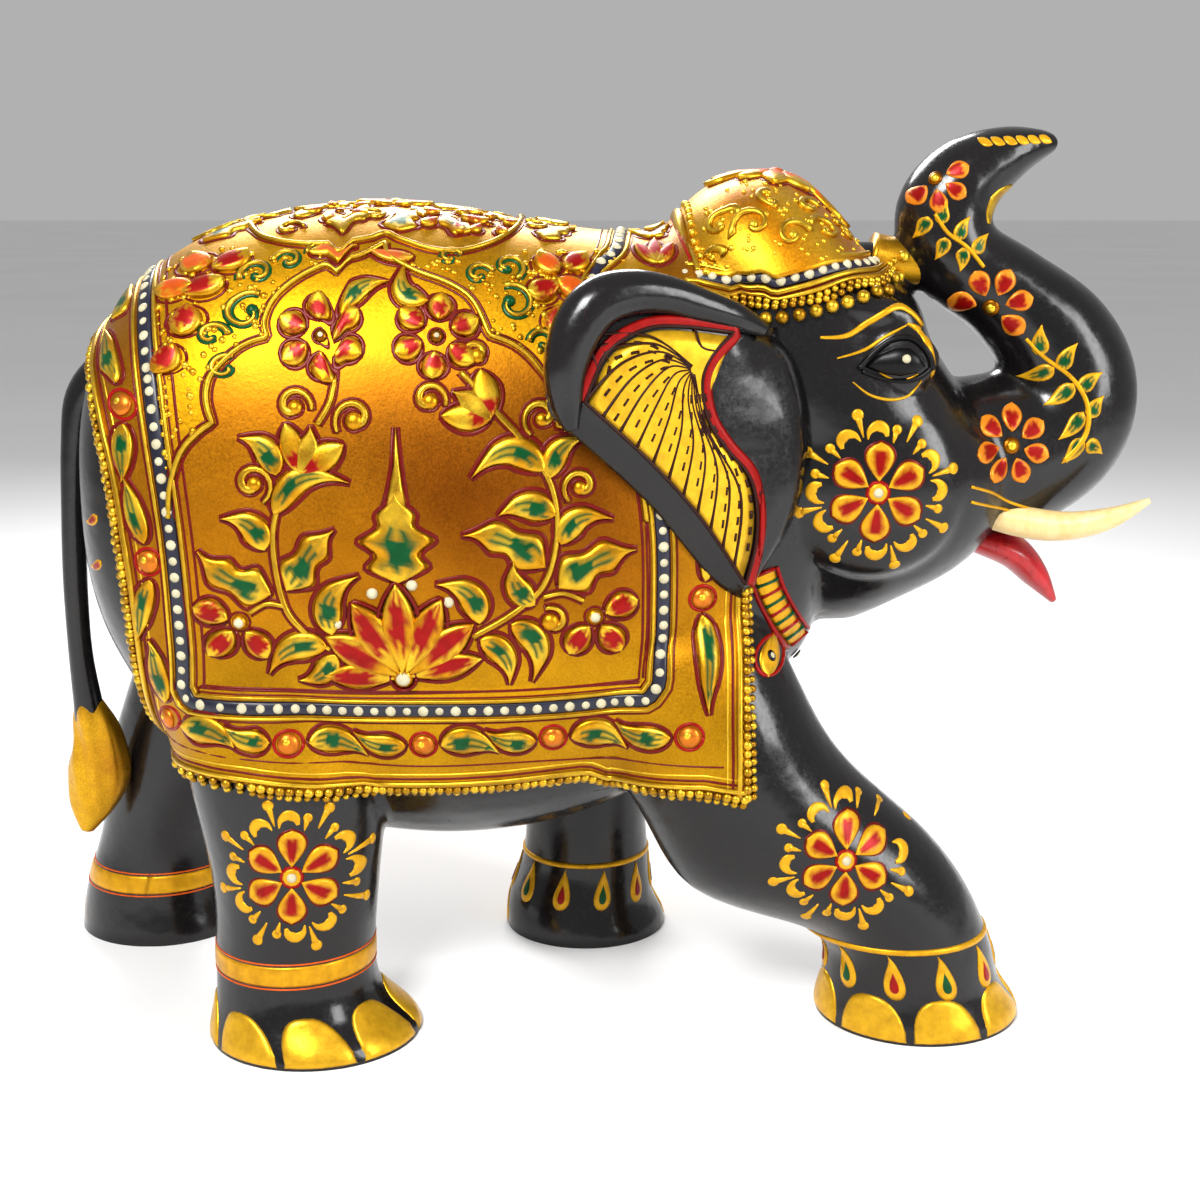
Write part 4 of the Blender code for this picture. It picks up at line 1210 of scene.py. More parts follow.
def make_border(side, label):
    """Discs, each with a painted highlight, and pairs of wavy leaves between the pearl band and the
    hem.
    """
    relief = Relief(cloth_place(side))
    discs = [(-71.6, 60.6), (-53.6, 58.0), (-30.6, 57.4), (-8.4, 58.2), (15.6, 58.6),
             (17.2, 82.0), (-75.2, 89.4), (-76.8, 115.0)]
    for index, at in enumerate(discs):
        line(relief, circle(at, 2.3), 0.36, 0.2, RED)
        relief.bead(*at, 2.0, (DISC_GOLD, 0.8), 0.5, 5, 16)
        # a pale gold dot up and to the left of each disc's middle is a painted highlight
        relief.bead(*polar(at, 130, 0.5), 0.7, (GOLD_PALE, METAL), 0.5, base=0.75)
    for index, (start, end) in enumerate(zip(discs[:4], discs[1:5])):
        span = math.dist(start, end) - 6.0
        angle = math.degrees(math.atan2(end[1] - start[1], end[0] - start[0]))
        at = polar(start, angle, 3.0)
        leaf(relief, at, angle - 6, span * 0.62, 5.4, 0.1, -0.1, GREEN, 0, index, end=0.9)
        leaf(relief, polar(end, angle + 180, 3.0), angle + 172, span * 0.54, 4.4, 0.1, -0.12, GREEN,
             0, index + 3, end=0.9)
    uprights = [((17.0, 79.0), 268, 16.5), ((17.4, 85.2), 90, 12.0), ((-71.8, 64.0), 98, 12.0),
                ((-74.8, 86.4), 266, 11.0), ((-75.4, 92.6), 95, 11.0), ((-76.6, 112.0), 268, 9.5),
                ((-77.2, 118.2), 94, 12.0), ((-78.6, 132.0), 92, 12.0)]
    for index, (at, angle, length) in enumerate(uprights):
        leaf(relief, at, angle, length, 3.8, 0.1 * (-1) ** index, 0.14 * (-1) ** index, GREEN, 0,
             index, end=0.88)
    lower = [(-76.4, 57.0), (-68.4, 56.2), (-35.2, 53.2), (-8.4, 53.6), (21.4, 53.4)]
    line(relief, spline(lower, 10), 0.22, 0.12)
    relief.build(f"{label}_border")


def green_scroll(relief, at, radius, start, sweep, seed):
    """A curl of gold on a wider green stroke."""
    path = spiral(at, radius, radius * 0.25, start, sweep)
    line(relief, path, 0.95, 0.2, GREEN, metal=GREEN_METAL)
    relief.band(path, lambda s: 0.5 * (1 - 0.4 * s), 0.7, gold_paint(seed))
    relief.bead(*path[-1], radius * 0.3, (GREEN, GREEN_METAL), 0.8)


def make_spandrels(side, label):
    """Flowers, scrolls and fine dots outside the arch."""
    relief = Relief(cloth_place(side))
    for index, (t, v, angle) in enumerate((
            (-66.2, 142.6, 100), (-61.4, 141.6, 40), (-64.6, 136.6, 20), (-68.6, 137.4, 170),
            (-66.8, 130.4, 260), (-69.6, 124.0, 240), (-9.2, 142.0, 130), (-4.4, 143.0, 50),
            (-9.8, 136.4, 200), (-5.0, 137.4, 340), (-7.4, 130.6, 270))):
        line(relief, circle((t, v), 2.9, 18), 0.3, 0.16)
        petal(relief, polar((t, v), angle + 180, 2.8), angle, 5.6, 4.8, RED if index % 3 else ORANGE,
              index, 1.2, False, start=0.12, end=0.75, blunt=1.1, power=0.5)
    for index, (at, radius, start, sweep) in enumerate((
            ((-58.6, 131.0), 3.8, 60, 330), ((-57.4, 138.4), 3.0, 200, -320),
            ((-52.4, 140.8), 2.6, 180, -300), ((-47.4, 143.0), 2.0, 200, -300),
            ((-63.4, 127.4), 2.2, 0, 300), ((-61.6, 121.6), 2.4, 60, 300),
            ((-14.6, 133.4), 3.8, 120, -330), ((-15.8, 140.8), 3.0, 300, 320),
            ((-20.6, 138.6), 2.4, 20, 300), ((-25.6, 142.0), 2.0, 20, 300),
            ((-9.6, 127.0), 2.4, 180, -300))):
        green_scroll(relief, at, radius, start, sweep, index)
    for index, (at, angle) in enumerate((((-49.0, 142.2), 10), ((-31.6, 141.4), 170))):
        leaf(relief, at, angle, 8.0, 2.8, 0.05, 0.0, PINK, 0, index, end=0.9)
    spots = random.Random(7)
    for _ in range(1100):
        t, v = spots.uniform(-71, 4), spots.uniform(98, 146)
        if inside(PANEL, t, v) or inside(MEDALLION, t, v) or abs(t + 36.6) < 22 and v > 142:
            continue
        if t > -10 and v < 124:
            continue
        relief.bead(t, v, spots.uniform(0.35, 0.8), (mixed(GOLD, GOLD_PALE, spots.random()),
                                                     METAL), 0.6, rings=2, sides=7)
    relief.build(f"{label}_spandrels")


def make_back_motifs():
    """Reliefs that straddle the spine: a rosette in the medallion and sprays behind it."""
    rosette = Relief(cloth_place(RIGHT))
    heart = (-37.0, BODY.spine(-37.0))
    for index in range(8):
        angle = 22.5 + 45 * index
        petal(rosette, polar(heart, angle, 1.6), angle, 5.4, 3.8, RED if index % 2 else ORANGE,
              index, 1.0, start=0.1, end=0.7, blunt=1.1, power=0.55)
    rosette.bead(*heart, 1.7, (GOLD_PALE, METAL), 0.7)
    rosette.build("back_rosette")
    for label, side in SIDES:
        relief = Relief(cloth_place(side))
        for index, (at, angle, length) in enumerate((
                ((-30.0, 163.0), -20, 10.0), ((-44.4, 163.0), 200, 10.0), ((-33.4, 158.6), -60, 6.0),
                ((-41.0, 158.6), 240, 6.0), ((-54.8, 161.0), 230, 6.0), ((-20.0, 160.0), -50, 6.0),
                ((-69.0, 158.0), 20, 6.6), ((-6.0, 160.0), 160, 6.6))):
            leaf(relief, at, angle, length, length * 0.42, 0.06, -0.1, GREEN if index < 4 else None,
                 2, index)
        for index, (at, angle, length, width, lobes) in enumerate((
                ((-34.6, 147.8), 78, 9.0, 5.6, 2), ((-47.0, 150.0), 30, 9.6, 4.6, 2),
                ((-22.4, 149.0), 140, 8.0, 4.4, 2), ((-52.6, 153.6), 60, 8.0, 4.2, 0),
                ((-66.0, 150.0), 40, 8.4, 4.6, 2), ((-10.0, 149.0), 60, 8.6, 4.6, 2))):
            leaf(relief, at, angle, length, width, 0.06, -0.14, GREEN if index % 2 == 0 else None,
                 lobes, index)
        for index, (at, reach) in enumerate((((-26.0, 154.0), 4.6), ((-19.6, 153.2), 3.8),
                                             ((-45.6, 157.0), 4.6))):
            blossom(relief, at, 5, reach, reach * 0.72, reach * 0.62, 20 * index, RED, PEARL,
                    index, 0.6)
        for index, (at, radius, start, sweep) in enumerate((
                ((-53.4, 149.6), 2.6, 0, 320), ((-39.4, 154.0), 3.0, 180, -330),
                ((-61.0, 158.0), 3.4, 60, 320), ((-12.0, 156.0), 3.0, 120, -320))):
            curl(relief, spiral(at, radius, 0.4, start, sweep), 0.75, 0.9, None, index)
        relief.build(f"{label}_back_reliefs")


def make_neck_cloth(side, label):
    """Lotus lines and leaves on the strip between the pearl band and the cap."""
    relief = Relief(cloth_place(side))
    line(relief, spline([(5.6, 161.0), (5.2, 152.0), (4.6, 145.6)], 5), 0.3, 0.16)
    line(relief, spline([(14.2, 160.0), (14.6, 150.0), (15.8, 141.0)], 5), 0.3, 0.16, RED)
    for index, (angle, length, width) in enumerate(((60, 7.0, 3.0), (120, 7.0, 3.0),
                                                    (90, 8.0, 3.2))):
        petal(relief, (9.6, 141.6), angle, length, width, RED, index, 0.7, start=0.3, end=0.95)
    leaf(relief, (9.8, 150.6), 60, 6.4, 3.2, 0.1, -0.1, GREEN, 2, 1)
    leaf(relief, (9.2, 150.6), 130, 5.6, 3.0, -0.1, 0.1, GREEN, 0, 2)
    leaf(relief, (8.6, 157.0), 50, 6.0, 3.0, 0.1, -0.1, None, 0, 3)
    relief.build(f"{label}_neck_cloth")


draped_sheet("cloth_ground", "saddle_cloth", BODY, 150, 120, cloth_spot,
             (lambda k: CLOTH_RISE, lambda k: 0.2), ground_tone)
make_back_motifs()
for LABEL, SIDE in SIDES:
    make_hem(SIDE, LABEL)
    make_pearl_band(SIDE, LABEL)
    make_frames(SIDE, LABEL)
    make_lotus(SIDE, LABEL)
    make_vines(SIDE, LABEL)
    make_border(SIDE, LABEL)
    make_spandrels(SIDE, LABEL)
    make_neck_cloth(SIDE, LABEL)


# ---- the head ----
def flank_place(side, surface=SKIN):
    """Drawing on the head, trunk and legs as seen from the side: u is x and v is z."""
    return lambda x, z: surface.cast((x, side * 120.0, z), (0, -side, 0))


def crown_place(side, rise):
    def place(t, v):
        point, normal = CROWN.hit(t, v, side)
        return point + normal * rise, normal
    return place


CAP_RISE = 1.7
# the cap's lower edge as (t, v) and its back edge as (v, t)
CAP_EDGE = [(14.6, 138.4), (17.4, 138.2), (19.5, 137.6), (25.3, 136.6), (30.6, 136.8), (36.2, 138.0),
            (41.5, 140.2), (45.6, 143.0), (48.0, 147.0), (49.4, 153.0)]
CAP_BACK_EDGE = [(130.0, 17.2), (138.4, 16.4), (146.0, 15.4), (152.0, 14.8), (160.0, 14.4)]
CAP_GOLD = srgb(212, 140, 16)


def cap_spot(k, share, _side):
    """(t, v) on the cap: k from its back edge to its front, share from its band to the spine."""
    back = interpolate(CAP_BACK_EDGE, 138.4 + 20 * share)
    t = back + (47.6 - 3.0 * share - back) * k
    low = interpolate(CAP_EDGE, t)
    return t, low + (CROWN.spine(t) - low) * share


def cap_swell(k):
    """How far the dome's face stands off the crown, k of the way from its back to its front."""
    return CAP_RISE * (0.45 + 0.75 * math.sin(math.pi * min(max(k, 0.06), 0.94)) ** 0.7)


def cap_tone(t, v):
    return mixed(CAP_GOLD, GOLD_PALE, 0.3 + 0.3 * math.sin(t * 0.4 + v * 0.3))


def cap_place(side):
    def place(t, v):
        point, normal = CROWN.hit(t, v, side)
        return point + normal * cap_swell((t - 15.5) / 31.0), normal
    return place


def make_cap_reliefs(side, label):
    """The flower, scrolls, dots and back cord on the dome."""
    relief = Relief(cap_place(side))
    middle = (31.5, CROWN.spine(31.5))
    for index, (angle, length) in enumerate(((205, 10.5), (232, 8.6), (262, 8.0), (292, 8.2),
                                             (320, 8.8), (342, 10.5), (184, 8.4), (358, 8.0))):
        petal(relief, polar(middle, angle, 2.2), angle, length, 4.8, ORANGE, index, 1.1,
              start=0.06, end=0.5)
    relief.bead(*middle, 2.0, (ORANGE, 0.4), 0.7)
    for index, (at, radius, start, sweep, bulb) in enumerate((
            ((26.4, 144.6), 3.4, 200, -340, 0.9), ((32.6, 143.8), 3.0, 20, 330, 0.9),
            ((38.2, 146.2), 3.0, 180, -330, 0.8), ((21.4, 146.6), 3.0, 0, 320, 0.8),
            ((29.2, 150.2), 2.2, 90, 300, 0.7), ((35.6, 151.0), 2.2, 40, 300, 0.7),
            ((42.2, 149.6), 2.2, 160, -300, 0.7), ((20.2, 141.4), 1.9, 0, 300, 0.6))):
        relief.band(spiral(at, radius, 0.6, start, sweep), lambda s: 0.75 * (1 - 0.5 * s), 0.65,
                    gold_paint(index))
        relief.bead(*at, bulb, (GOLD_PALE, METAL), 0.7)
    dots = random.Random(11)
    for _ in range(90):
        t, v = dots.uniform(18, 46), dots.uniform(139, 156)
        if v > interpolate(CAP_EDGE, t) + 1:
            relief.bead(t, v, dots.uniform(0.3, 0.6), (GOLD_PALE, METAL), 0.6, rings=3, sides=7)
    edge = [(interpolate(CAP_BACK_EDGE, v) + 0.4, v) for v in range(138, 160)]
    cord(relief, spline(edge, 3), 0.7, 0.9, 2)
    for t, v in resample(edge, 1.9):
        relief.bead(t + 1.4, v, 0.8, (GOLD_PALE, METAL), 0.9)
    relief.build(f"{label}_cap_reliefs")


def make_cap_band(side, label):
    """Pearls on a dark band between cords, rows of fine beads, and hanging gold beads."""
    edge = spline(CAP_EDGE[:9], 5)
    relief = Relief(crown_place(side, 0.9))
    band = Relief(crown_place(side, 0.9))
    middle = resample(shifted(edge, -0.4), 1.0)
    band.band(middle, 1.45, 0.35, (NAVY, 0.0), across=5)
    band.build(f"{label}_cap_band_ground", "navy_paint", (f"{label}_cap_band",), "navy")
    pearls = Relief(crown_place(side, 0.9))
    for index, (t, v) in enumerate(resample(middle, 2.3)):
        pearls.bead(t, v, 0.98 + 0.08 * math.sin(index * 2.2), (PEARL, 0.0), 0.8)
    pearls.build(f"{label}_cap_pearls", "ivory_paint")
    cord(relief, shifted(middle, 1.8), 0.62, 0.8, 1)
    cord(relief, shifted(middle, -1.8), 0.6, 0.8, 2)
    line(relief, shifted(middle, 2.4), 0.25, 0.14)
    line(relief, shifted(middle, -2.4), 0.25, 0.14)
    cord(relief, shifted(middle, -3.0), 0.5, 0.7, 3)
    for row, offset in enumerate((-3.9, -5.0)):
        for index, (t, v) in enumerate(resample(shifted(middle, offset), 1.45)):
            relief.bead(t, v, 0.66, gold_paint(index + row)(0.4, 0), 1.0)
    for index, (t, v) in enumerate(resample(shifted(middle, -7.2), 2.9)):
        if t > 24:
            relief.bead(t, v, 1.2, gold_paint(index)(0.5, 0), 0.95, base=-0.3)
    relief.build(f"{label}_cap_beads", "gold_paint", (f"{label}_cap_fringe",))


def folk_flower(relief, at, size, seed, turn):
    """The painted flower of the cheek and legs: six drop petals in a ring of commas."""
    paint = (ENAMEL, 0.3)
    for index in range(6):
        angle = turn + 60 * index
        root = polar(at, angle, 0.15 * size)
        petal(relief, root, angle, 0.53 * size, 0.52 * size, DARK_RED, seed, 0.06, False,
              start=-1.0, end=3.0, blunt=1.5, power=0.6, rim=DARK_RED, reach=4.0)
        petal(relief, root, angle, 0.5 * size, 0.41 * size, RED, seed + index, 0.3, False,
              start=0.12, end=0.8, blunt=1.5, power=0.6, rim=ENAMEL, reach=0.5, base=0.08,
              rough=0.25)
    relief.bead(*at, 0.17 * size, (RED, 0.1), 0.1)
    relief.bead(*at, 0.13 * size, (ENAMEL, 0.3), 0.25, base=0.06)
    relief.bead(*at, 0.07 * size, (PEARL, 0.0), 0.6, base=0.3)
    for index in range(8):
        angle = turn - 12 + 45 * index
        stalk = [polar(at, angle, r * size) for r in (0.74, 0.84, 0.94, 1.04)]
        relief.band(stalk, lambda s: 0.16 + 0.055 * size * s, 0.22, paint, across=5)
        relief.bead(*stalk[-1], 0.08 * size, paint, 0.25, sides=12)
        for way in (1, -1):
            if index % 2:
                path = [polar(at, angle + way * 13, r * size) for r in (0.66, 0.74, 0.84)]
                relief.band(path, lambda s: 0.14 + 0.05 * size * s, 0.22, paint, across=5)
                relief.bead(*path[-1], 0.066 * size, paint, 0.25, sides=12)
            else:
                path = [polar(at, angle + way * shift, r * size) for shift, r in (
                    (4, 0.7), (7, 0.8), (14, 0.86), (21, 0.82), (24, 0.73))]
                relief.band(spline(path, 4), lambda s: 0.14 + 0.075 * size * math.sin(
                    math.pi * min(s ** 1.3, 0.9)), 0.22, paint)


def painted_petals(relief, at, reach, size, turn, seed):
    """The small trunk flower: seven orange-red drops round a gold dot."""
    for index in range(7):
        angle = turn + 360 * index / 7
        petal(relief, polar(at, angle, reach - size * 0.5), angle, size, size * 0.84, RED,
              seed + index, 0.35, False, start=0.1, end=0.72, blunt=1.3, power=0.55,
              rim=ORANGE_GOLD, reach=0.62, rough=0.5)
    relief.bead(*at, size * 0.34, (GOLD_DEEP, METAL), 0.35)
    relief.bead(*at, size * 0.2, (GOLD_PALE, METAL), 0.6, base=0.25)


def drop_leaf(relief, at, angle, length, width, core, seed):
    """A flat painted leaf with a coloured heart."""
    path = turned([(length * i / 10, length * 0.08 * math.sin(math.pi * i / 10))
                   for i in range(11)], angle, at)
    paint = brushed(core, 0.1, 0.66, 0.55, seed, ENAMEL, 0.3, 0.4)
    relief.band(path, lambda s: max(width / 2 * math.sin(math.pi * s ** 0.6), 0.08), 0.3, paint,
                across=9)


def make_bridge():
    """The gold-painted bar of wood between the forehead and the trunk."""
    work = bmesh.new()
    tube(work, [(49.0, 0, 139.0, 4.2, 6.0), (53.0, 0, 138.0, 4.4, 5.4), (57.0, 0, 137.6, 4.3, 5.2),
                (60.5, 0, 138.0, 4.6, 5.6)], 28, 4)
    add_piece("forehead_bridge", mesh_of(work), "gold", "gold_paint")


def make_face(side, label):
    """The cheek flower, the painted lines round the eye and tusk, and the eye itself."""
    relief = Relief(flank_place(side))
    folk_flower(relief, (48.2, 99.4), 13.4, 1, 28)
    lids = [
        ([(37.7, 125.9), (42.3, 126.2), (46.4, 128.6), (50.7, 131.0), (53.4, 130.2), (56.0, 127.4)],
         0.72), ([(40.6, 122.4), (45.5, 123.8), (49.0, 126.0), (52.8, 128.0)], 0.42),
        ([(52.8, 128.2), (55.4, 126.6), (57.0, 122.4), (57.4, 118.6)], 0.8),
        ([(47.0, 120.8), (49.4, 119.2), (51.8, 118.5), (54.6, 119.8)], 0.3),
        ([(43.4, 118.4), (46.4, 116.2), (50.2, 115.3), (53.5, 116.0), (55.4, 118.6)], 0.34),
    ]
    for path, half in lids:
        relief.band(spline(path, 6), lambda s: half * (0.35 + 0.65 * math.sin(math.pi * min(
            max(s, 0.05), 0.95))), 0.26, (ENAMEL, 0.5), across=5)
    for path in ([(65.4, 99.6), (69.8, 98.0), (74.0, 95.6), (79.6, 93.6)],
                 [(65.6, 96.8), (71.0, 95.0), (76.4, 93.0)]):
        relief.band(spline(path, 6), 0.34, 0.26, (ENAMEL, 0.5), across=5)
    relief.build(f"{label}_face_paint")
    eye = Relief(flank_place(side))
    eye.blob([(45.4, 120.9), (47.6, 123.0), (50.2, 124.2), (53.0, 124.2), (55.0, 122.8),
              (56.0, 121.0), (54.4, 119.9), (51.8, 119.3), (48.6, 119.6)], 1.3, (BLACK, 0.0), 8)
    lid = spline([(44.4, 120.6), (47.4, 123.6), (50.4, 125.6), (53.6, 125.6), (56.2, 123.2),
                  (57.0, 120.6)], 6)
    eye.band(lid, 0.55, 0.8, (BLACK, 0.0))
    eye.band(spline([(45.0, 120.2), (48.6, 118.9), (52.0, 118.5), (55.0, 119.2), (57.0, 120.8)], 6),
             0.45, 0.6, (BLACK, 0.0))
    eye.bead(52.4, 122.4, 0.8, (PEARL, 0.0), 0.7, base=1.1)
    eye.build(f"{label}_eye", "black_lacquer")


def make_trunk_paint(side, label):
    """Three flowers, two vines and the tip's gold marks."""
    relief = Relief(flank_place(side))
    painted_petals(relief, (59.4, 152.6), 4.0, 4.1, 20, 1)
    painted_petals(relief, (70.0, 130.0), 4.9, 4.9, 15, 2)
    painted_petals(relief, (73.6, 106.0), 4.8, 4.8, 35, 3)
    vine = spline([(76.4, 124.6), (79.6, 121.4), (84.6, 117.6), (87.4, 112.8), (87.2, 107.6),
                   (83.6, 103.0)], 8)
    relief.band(vine, lambda s: 0.35 + 0.3 * s, 0.4, (ENAMEL, 0.45))
    for index, (x, z, angle, length) in enumerate((
            (79.4, 121.6, 96, 5.6), (82.6, 119.0, 62, 5.6), (86.0, 115.4, 40, 5.2),
            (88.0, 110.6, 60, 4.6), (81.4, 119.6, 200, 6.0), (84.8, 116.8, 218, 6.4),
            (86.6, 111.8, 228, 6.6), (86.6, 107.2, 232, 5.8), (87.4, 106.0, 330, 4.0))):
        drop_leaf(relief, (x, z), angle, length, 3.3, GREEN, index)
    small = spline([(59.4, 146.4), (61.6, 143.2), (65.2, 140.6), (68.2, 137.2)], 6)
    relief.band(small, 0.42, 0.4, (ENAMEL, 0.45))
    for index, (x, z, angle, length) in enumerate((
            (58.2, 146.0, 240, 4.4), (60.6, 144.6, 80, 4.4), (63.6, 141.8, 66, 4.6),
            (66.6, 139.4, 54, 4.4), (61.2, 142.4, 250, 4.2), (64.2, 140.6, 268, 4.2))):
        drop_leaf(relief, (x, z), angle, length, 2.9, GREEN, index)
    for index in range(6):
        x = 67.0 + 2.2 * index
        petal(relief, (x, 159.4 + 0.1 * index), -25, 2.6, 1.7, ENAMEL, index, 0.2, False,
              rim=ENAMEL)
    line(relief, spline([(82.6, 159.4), (79.8, 155.6), (77.4, 152.8), (75.0, 151.0)], 5), 0.3, 0.2,
         GOLD, metal=METAL)
    relief.band(spline([(73.8, 151.4), (71.0, 149.6), (69.8, 147.0), (69.6, 144.6)], 5),
                lambda s: 0.3 + 0.9 * math.sin(math.pi * s), 0.25, gold_paint(2))
    relief.build(f"{label}_trunk_paint")


class RingMap:
    """Drawing coordinates (u, v) round a leg: u is the arc from its middle side, v is z."""

    def __init__(self, rows, side, radius):
        self.rows = sorted([(z, x, y) for x, y, z, *_ in rows])
        self.side, self.radius = side, radius

    def __call__(self, u, v):
        x = interpolate([(z, x) for z, x, _ in self.rows], v)
        y = interpolate([(z, y) for z, _, y in self.rows], v)
        angle = u / self.radius
        out = Vector((math.sin(angle), self.side * math.cos(angle), 0))
        return SKIN.cast(Vector((x, y, v)) + out * 30, -out)


BAND_GOLD = srgb(212, 154, 22)
DROPS = 10
LEG_RADIUS = 15.0
TOE_PITCH, TOE_HALF, TOE_HEIGHT, TOE_LOW = 12.2, 5.8, 8.0, 0.3


def teardrop(u, top, low, half):
    """The outline of a drop that hangs with its blunt end down."""
    points = []
    for step in range(24):
        turn = 2 * math.pi * step / 24
        points.append((u + 1.3 * half * math.sin(turn) * math.sin(turn / 2) ** 1.6,
                       (top + low) / 2 + (top - low) / 2 * math.cos(turn)))
    return points


def make_leg_paint(name, flower, flower_size, anklet, toe_count, toe_shift):
    """Band or drops at the height anklet, toenails round the sole, and the side's flower."""
    side = RIGHT if "right" in name else LEFT
    relief = Relief(RingMap(LEGS[name], side, LEG_RADIUS))
    around = math.pi * LEG_RADIUS
    circle_path = [(-around + 2 * around * i / 90, anklet) for i in range(91)]
    if name.startswith("hind"):
        relief.band(circle_path, 2.15, 0.22, (BAND_GOLD, 0.55))
        for way in (1, -1):
            line(relief, shifted(circle_path, way * 2.25), 0.2, 0.16, ORANGE)
    else:
        relief.band(circle_path, 0.7, 0.35, (ENAMEL, 0.5), across=5)
        for index in range(DROPS):
            u = -around + 2 * around * (index + 0.5) / DROPS
            core = GREEN if index % 2 else RED
            relief.blob(teardrop(u, anklet - 0.4, anklet - 9.4, 2.4), 0.25, (ENAMEL, 0.3), 5,
                        base=0.1, flat=0.3)
            relief.blob(teardrop(u, anklet - 3.4, anklet - 8.3, 1.15), 0.15, (core, 0.0), 4,
                        base=0.34, flat=0.3)
    for index in range(toe_count):
        u = (index - (toe_count - 1) / 2) * TOE_PITCH + toe_shift
        nail = []
        for step in range(17):
            c, s = math.cos(math.pi * step / 16), math.sin(math.pi * step / 16)
            nail.append((u + TOE_HALF * math.copysign(abs(c) ** 0.8, c),
                         TOE_LOW + TOE_HEIGHT * s ** 0.85))
        nail += [(u + TOE_HALF * (step / 5 - 1), TOE_LOW) for step in range(1, 10)]
        relief.blob(nail, 0.25, (mixed(BAND_GOLD, GOLD_PALE, 0.3), 0.6), 7, base=0.12, flat=0.3)
    relief.build(f"{name}_bands")
    paint = Relief(flank_place(side))
    folk_flower(paint, flower, flower_size, 3, 28)
    paint.build(f"{name}_flower")


draped_sheet("cap_ground", "head_cap", CROWN, 44, 44, cap_spot, (cap_swell, lambda k: 0.15),
             cap_tone)
make_bridge()
for LABEL, SIDE in SIDES:
    make_cap_reliefs(SIDE, LABEL)
    make_cap_band(SIDE, LABEL)
    make_face(SIDE, LABEL)
    make_trunk_paint(SIDE, LABEL)
make_leg_paint("front_right_leg", (43.4, 35.2), 12.8, 17.0, 5, 3.0)
make_leg_paint("hind_right_leg", (-53.6, 34.0), 13.0, 15.4, 5, 3.0)
make_leg_paint("front_left_leg", (-3.0, 30.0), 11.6, 16.4, 4, -1.5)
make_leg_paint("hind_left_leg", (-86.0, 34.0), 12.6, 12.4, 4, -1.5)


# ---- the ears ----
EAR_FRONT_X, EAR_LENGTH, EAR_FRONT_Y, EAR_FLARE, EAR_THICK = 27.0, 34.0, 31.0, 12.0, 3.6
EAR_REAR = spline([(24.8, 84.6), (19.6, 92.8), (14.8, 99.3), (7.8, 107.1), (-2.6, 117.0)], 5)[:-1]
EAR_TOP = spline([(-2.6, 117.0), (1.0, 124.7), (6.7, 128.4), (12.5, 128.9), (22.0, 127.6)], 5)[:-1]
EAR_FRONT = spline([(22.0, 127.6), (18.4, 123.8), (16.8, 119.6), (17.8, 113.6), (21.0, 108.4),
                    (25.0, 103.6), (26.6, 97.6), (26.4, 91.0), (24.8, 84.6)], 5)[:-1]
EAR_FACE = EAR_REAR + EAR_TOP + EAR_FRONT
EAR_RING = EAR_FACE + EAR_FACE[:1]
EAR_BACK = spline([(25.6, 81.4), (20.0, 85.6), (8.6, 99.6), (-7.4, 114.6)], 8)[:-1] \
    + spline([(-7.4, 114.6), (-8.2, 121.0), (-6.4, 129.4), (-2.0, 134.4), (6.0, 135.6),
              (16.0, 133.0), (24.0, 130.4)], 5)[:-1] \
    + spline([(24.0, 130.4), (31.6, 124.6), (35.6, 113.0), (35.0, 99.0), (30.4, 88.0),
              (25.6, 81.4)], 5)[:-1]
EAR_DIP_X, EAR_DIP = 25.0, 1.2      # the flap's front edge turns in to meet the head
EAR_HEEL = (15.6, 121.7)
EAR_YELLOW, EAR_BROWN = srgb(222, 172, 34), srgb(44, 14, 8)


def ear_depth(x):
    back = min(max((EAR_FRONT_X - x) / EAR_LENGTH, 0.0), 1.15)
    dip = min(max((x - EAR_DIP_X) / 6.0, 0.0), 1.0)
    return EAR_FRONT_Y + EAR_FLARE * back ** 0.8 - EAR_DIP * dip * dip * (3 - 2 * dip)


def ear_place(side, rise=0.0):
    def place(x, z):
        step = 0.4
        slope = (ear_depth(x + step) - ear_depth(x - step)) / (2 * step)
        normal = Vector((-slope, side, 0)).normalized()
        return Vector((x, side * ear_depth(x), z)) + normal * rise, normal
    return place


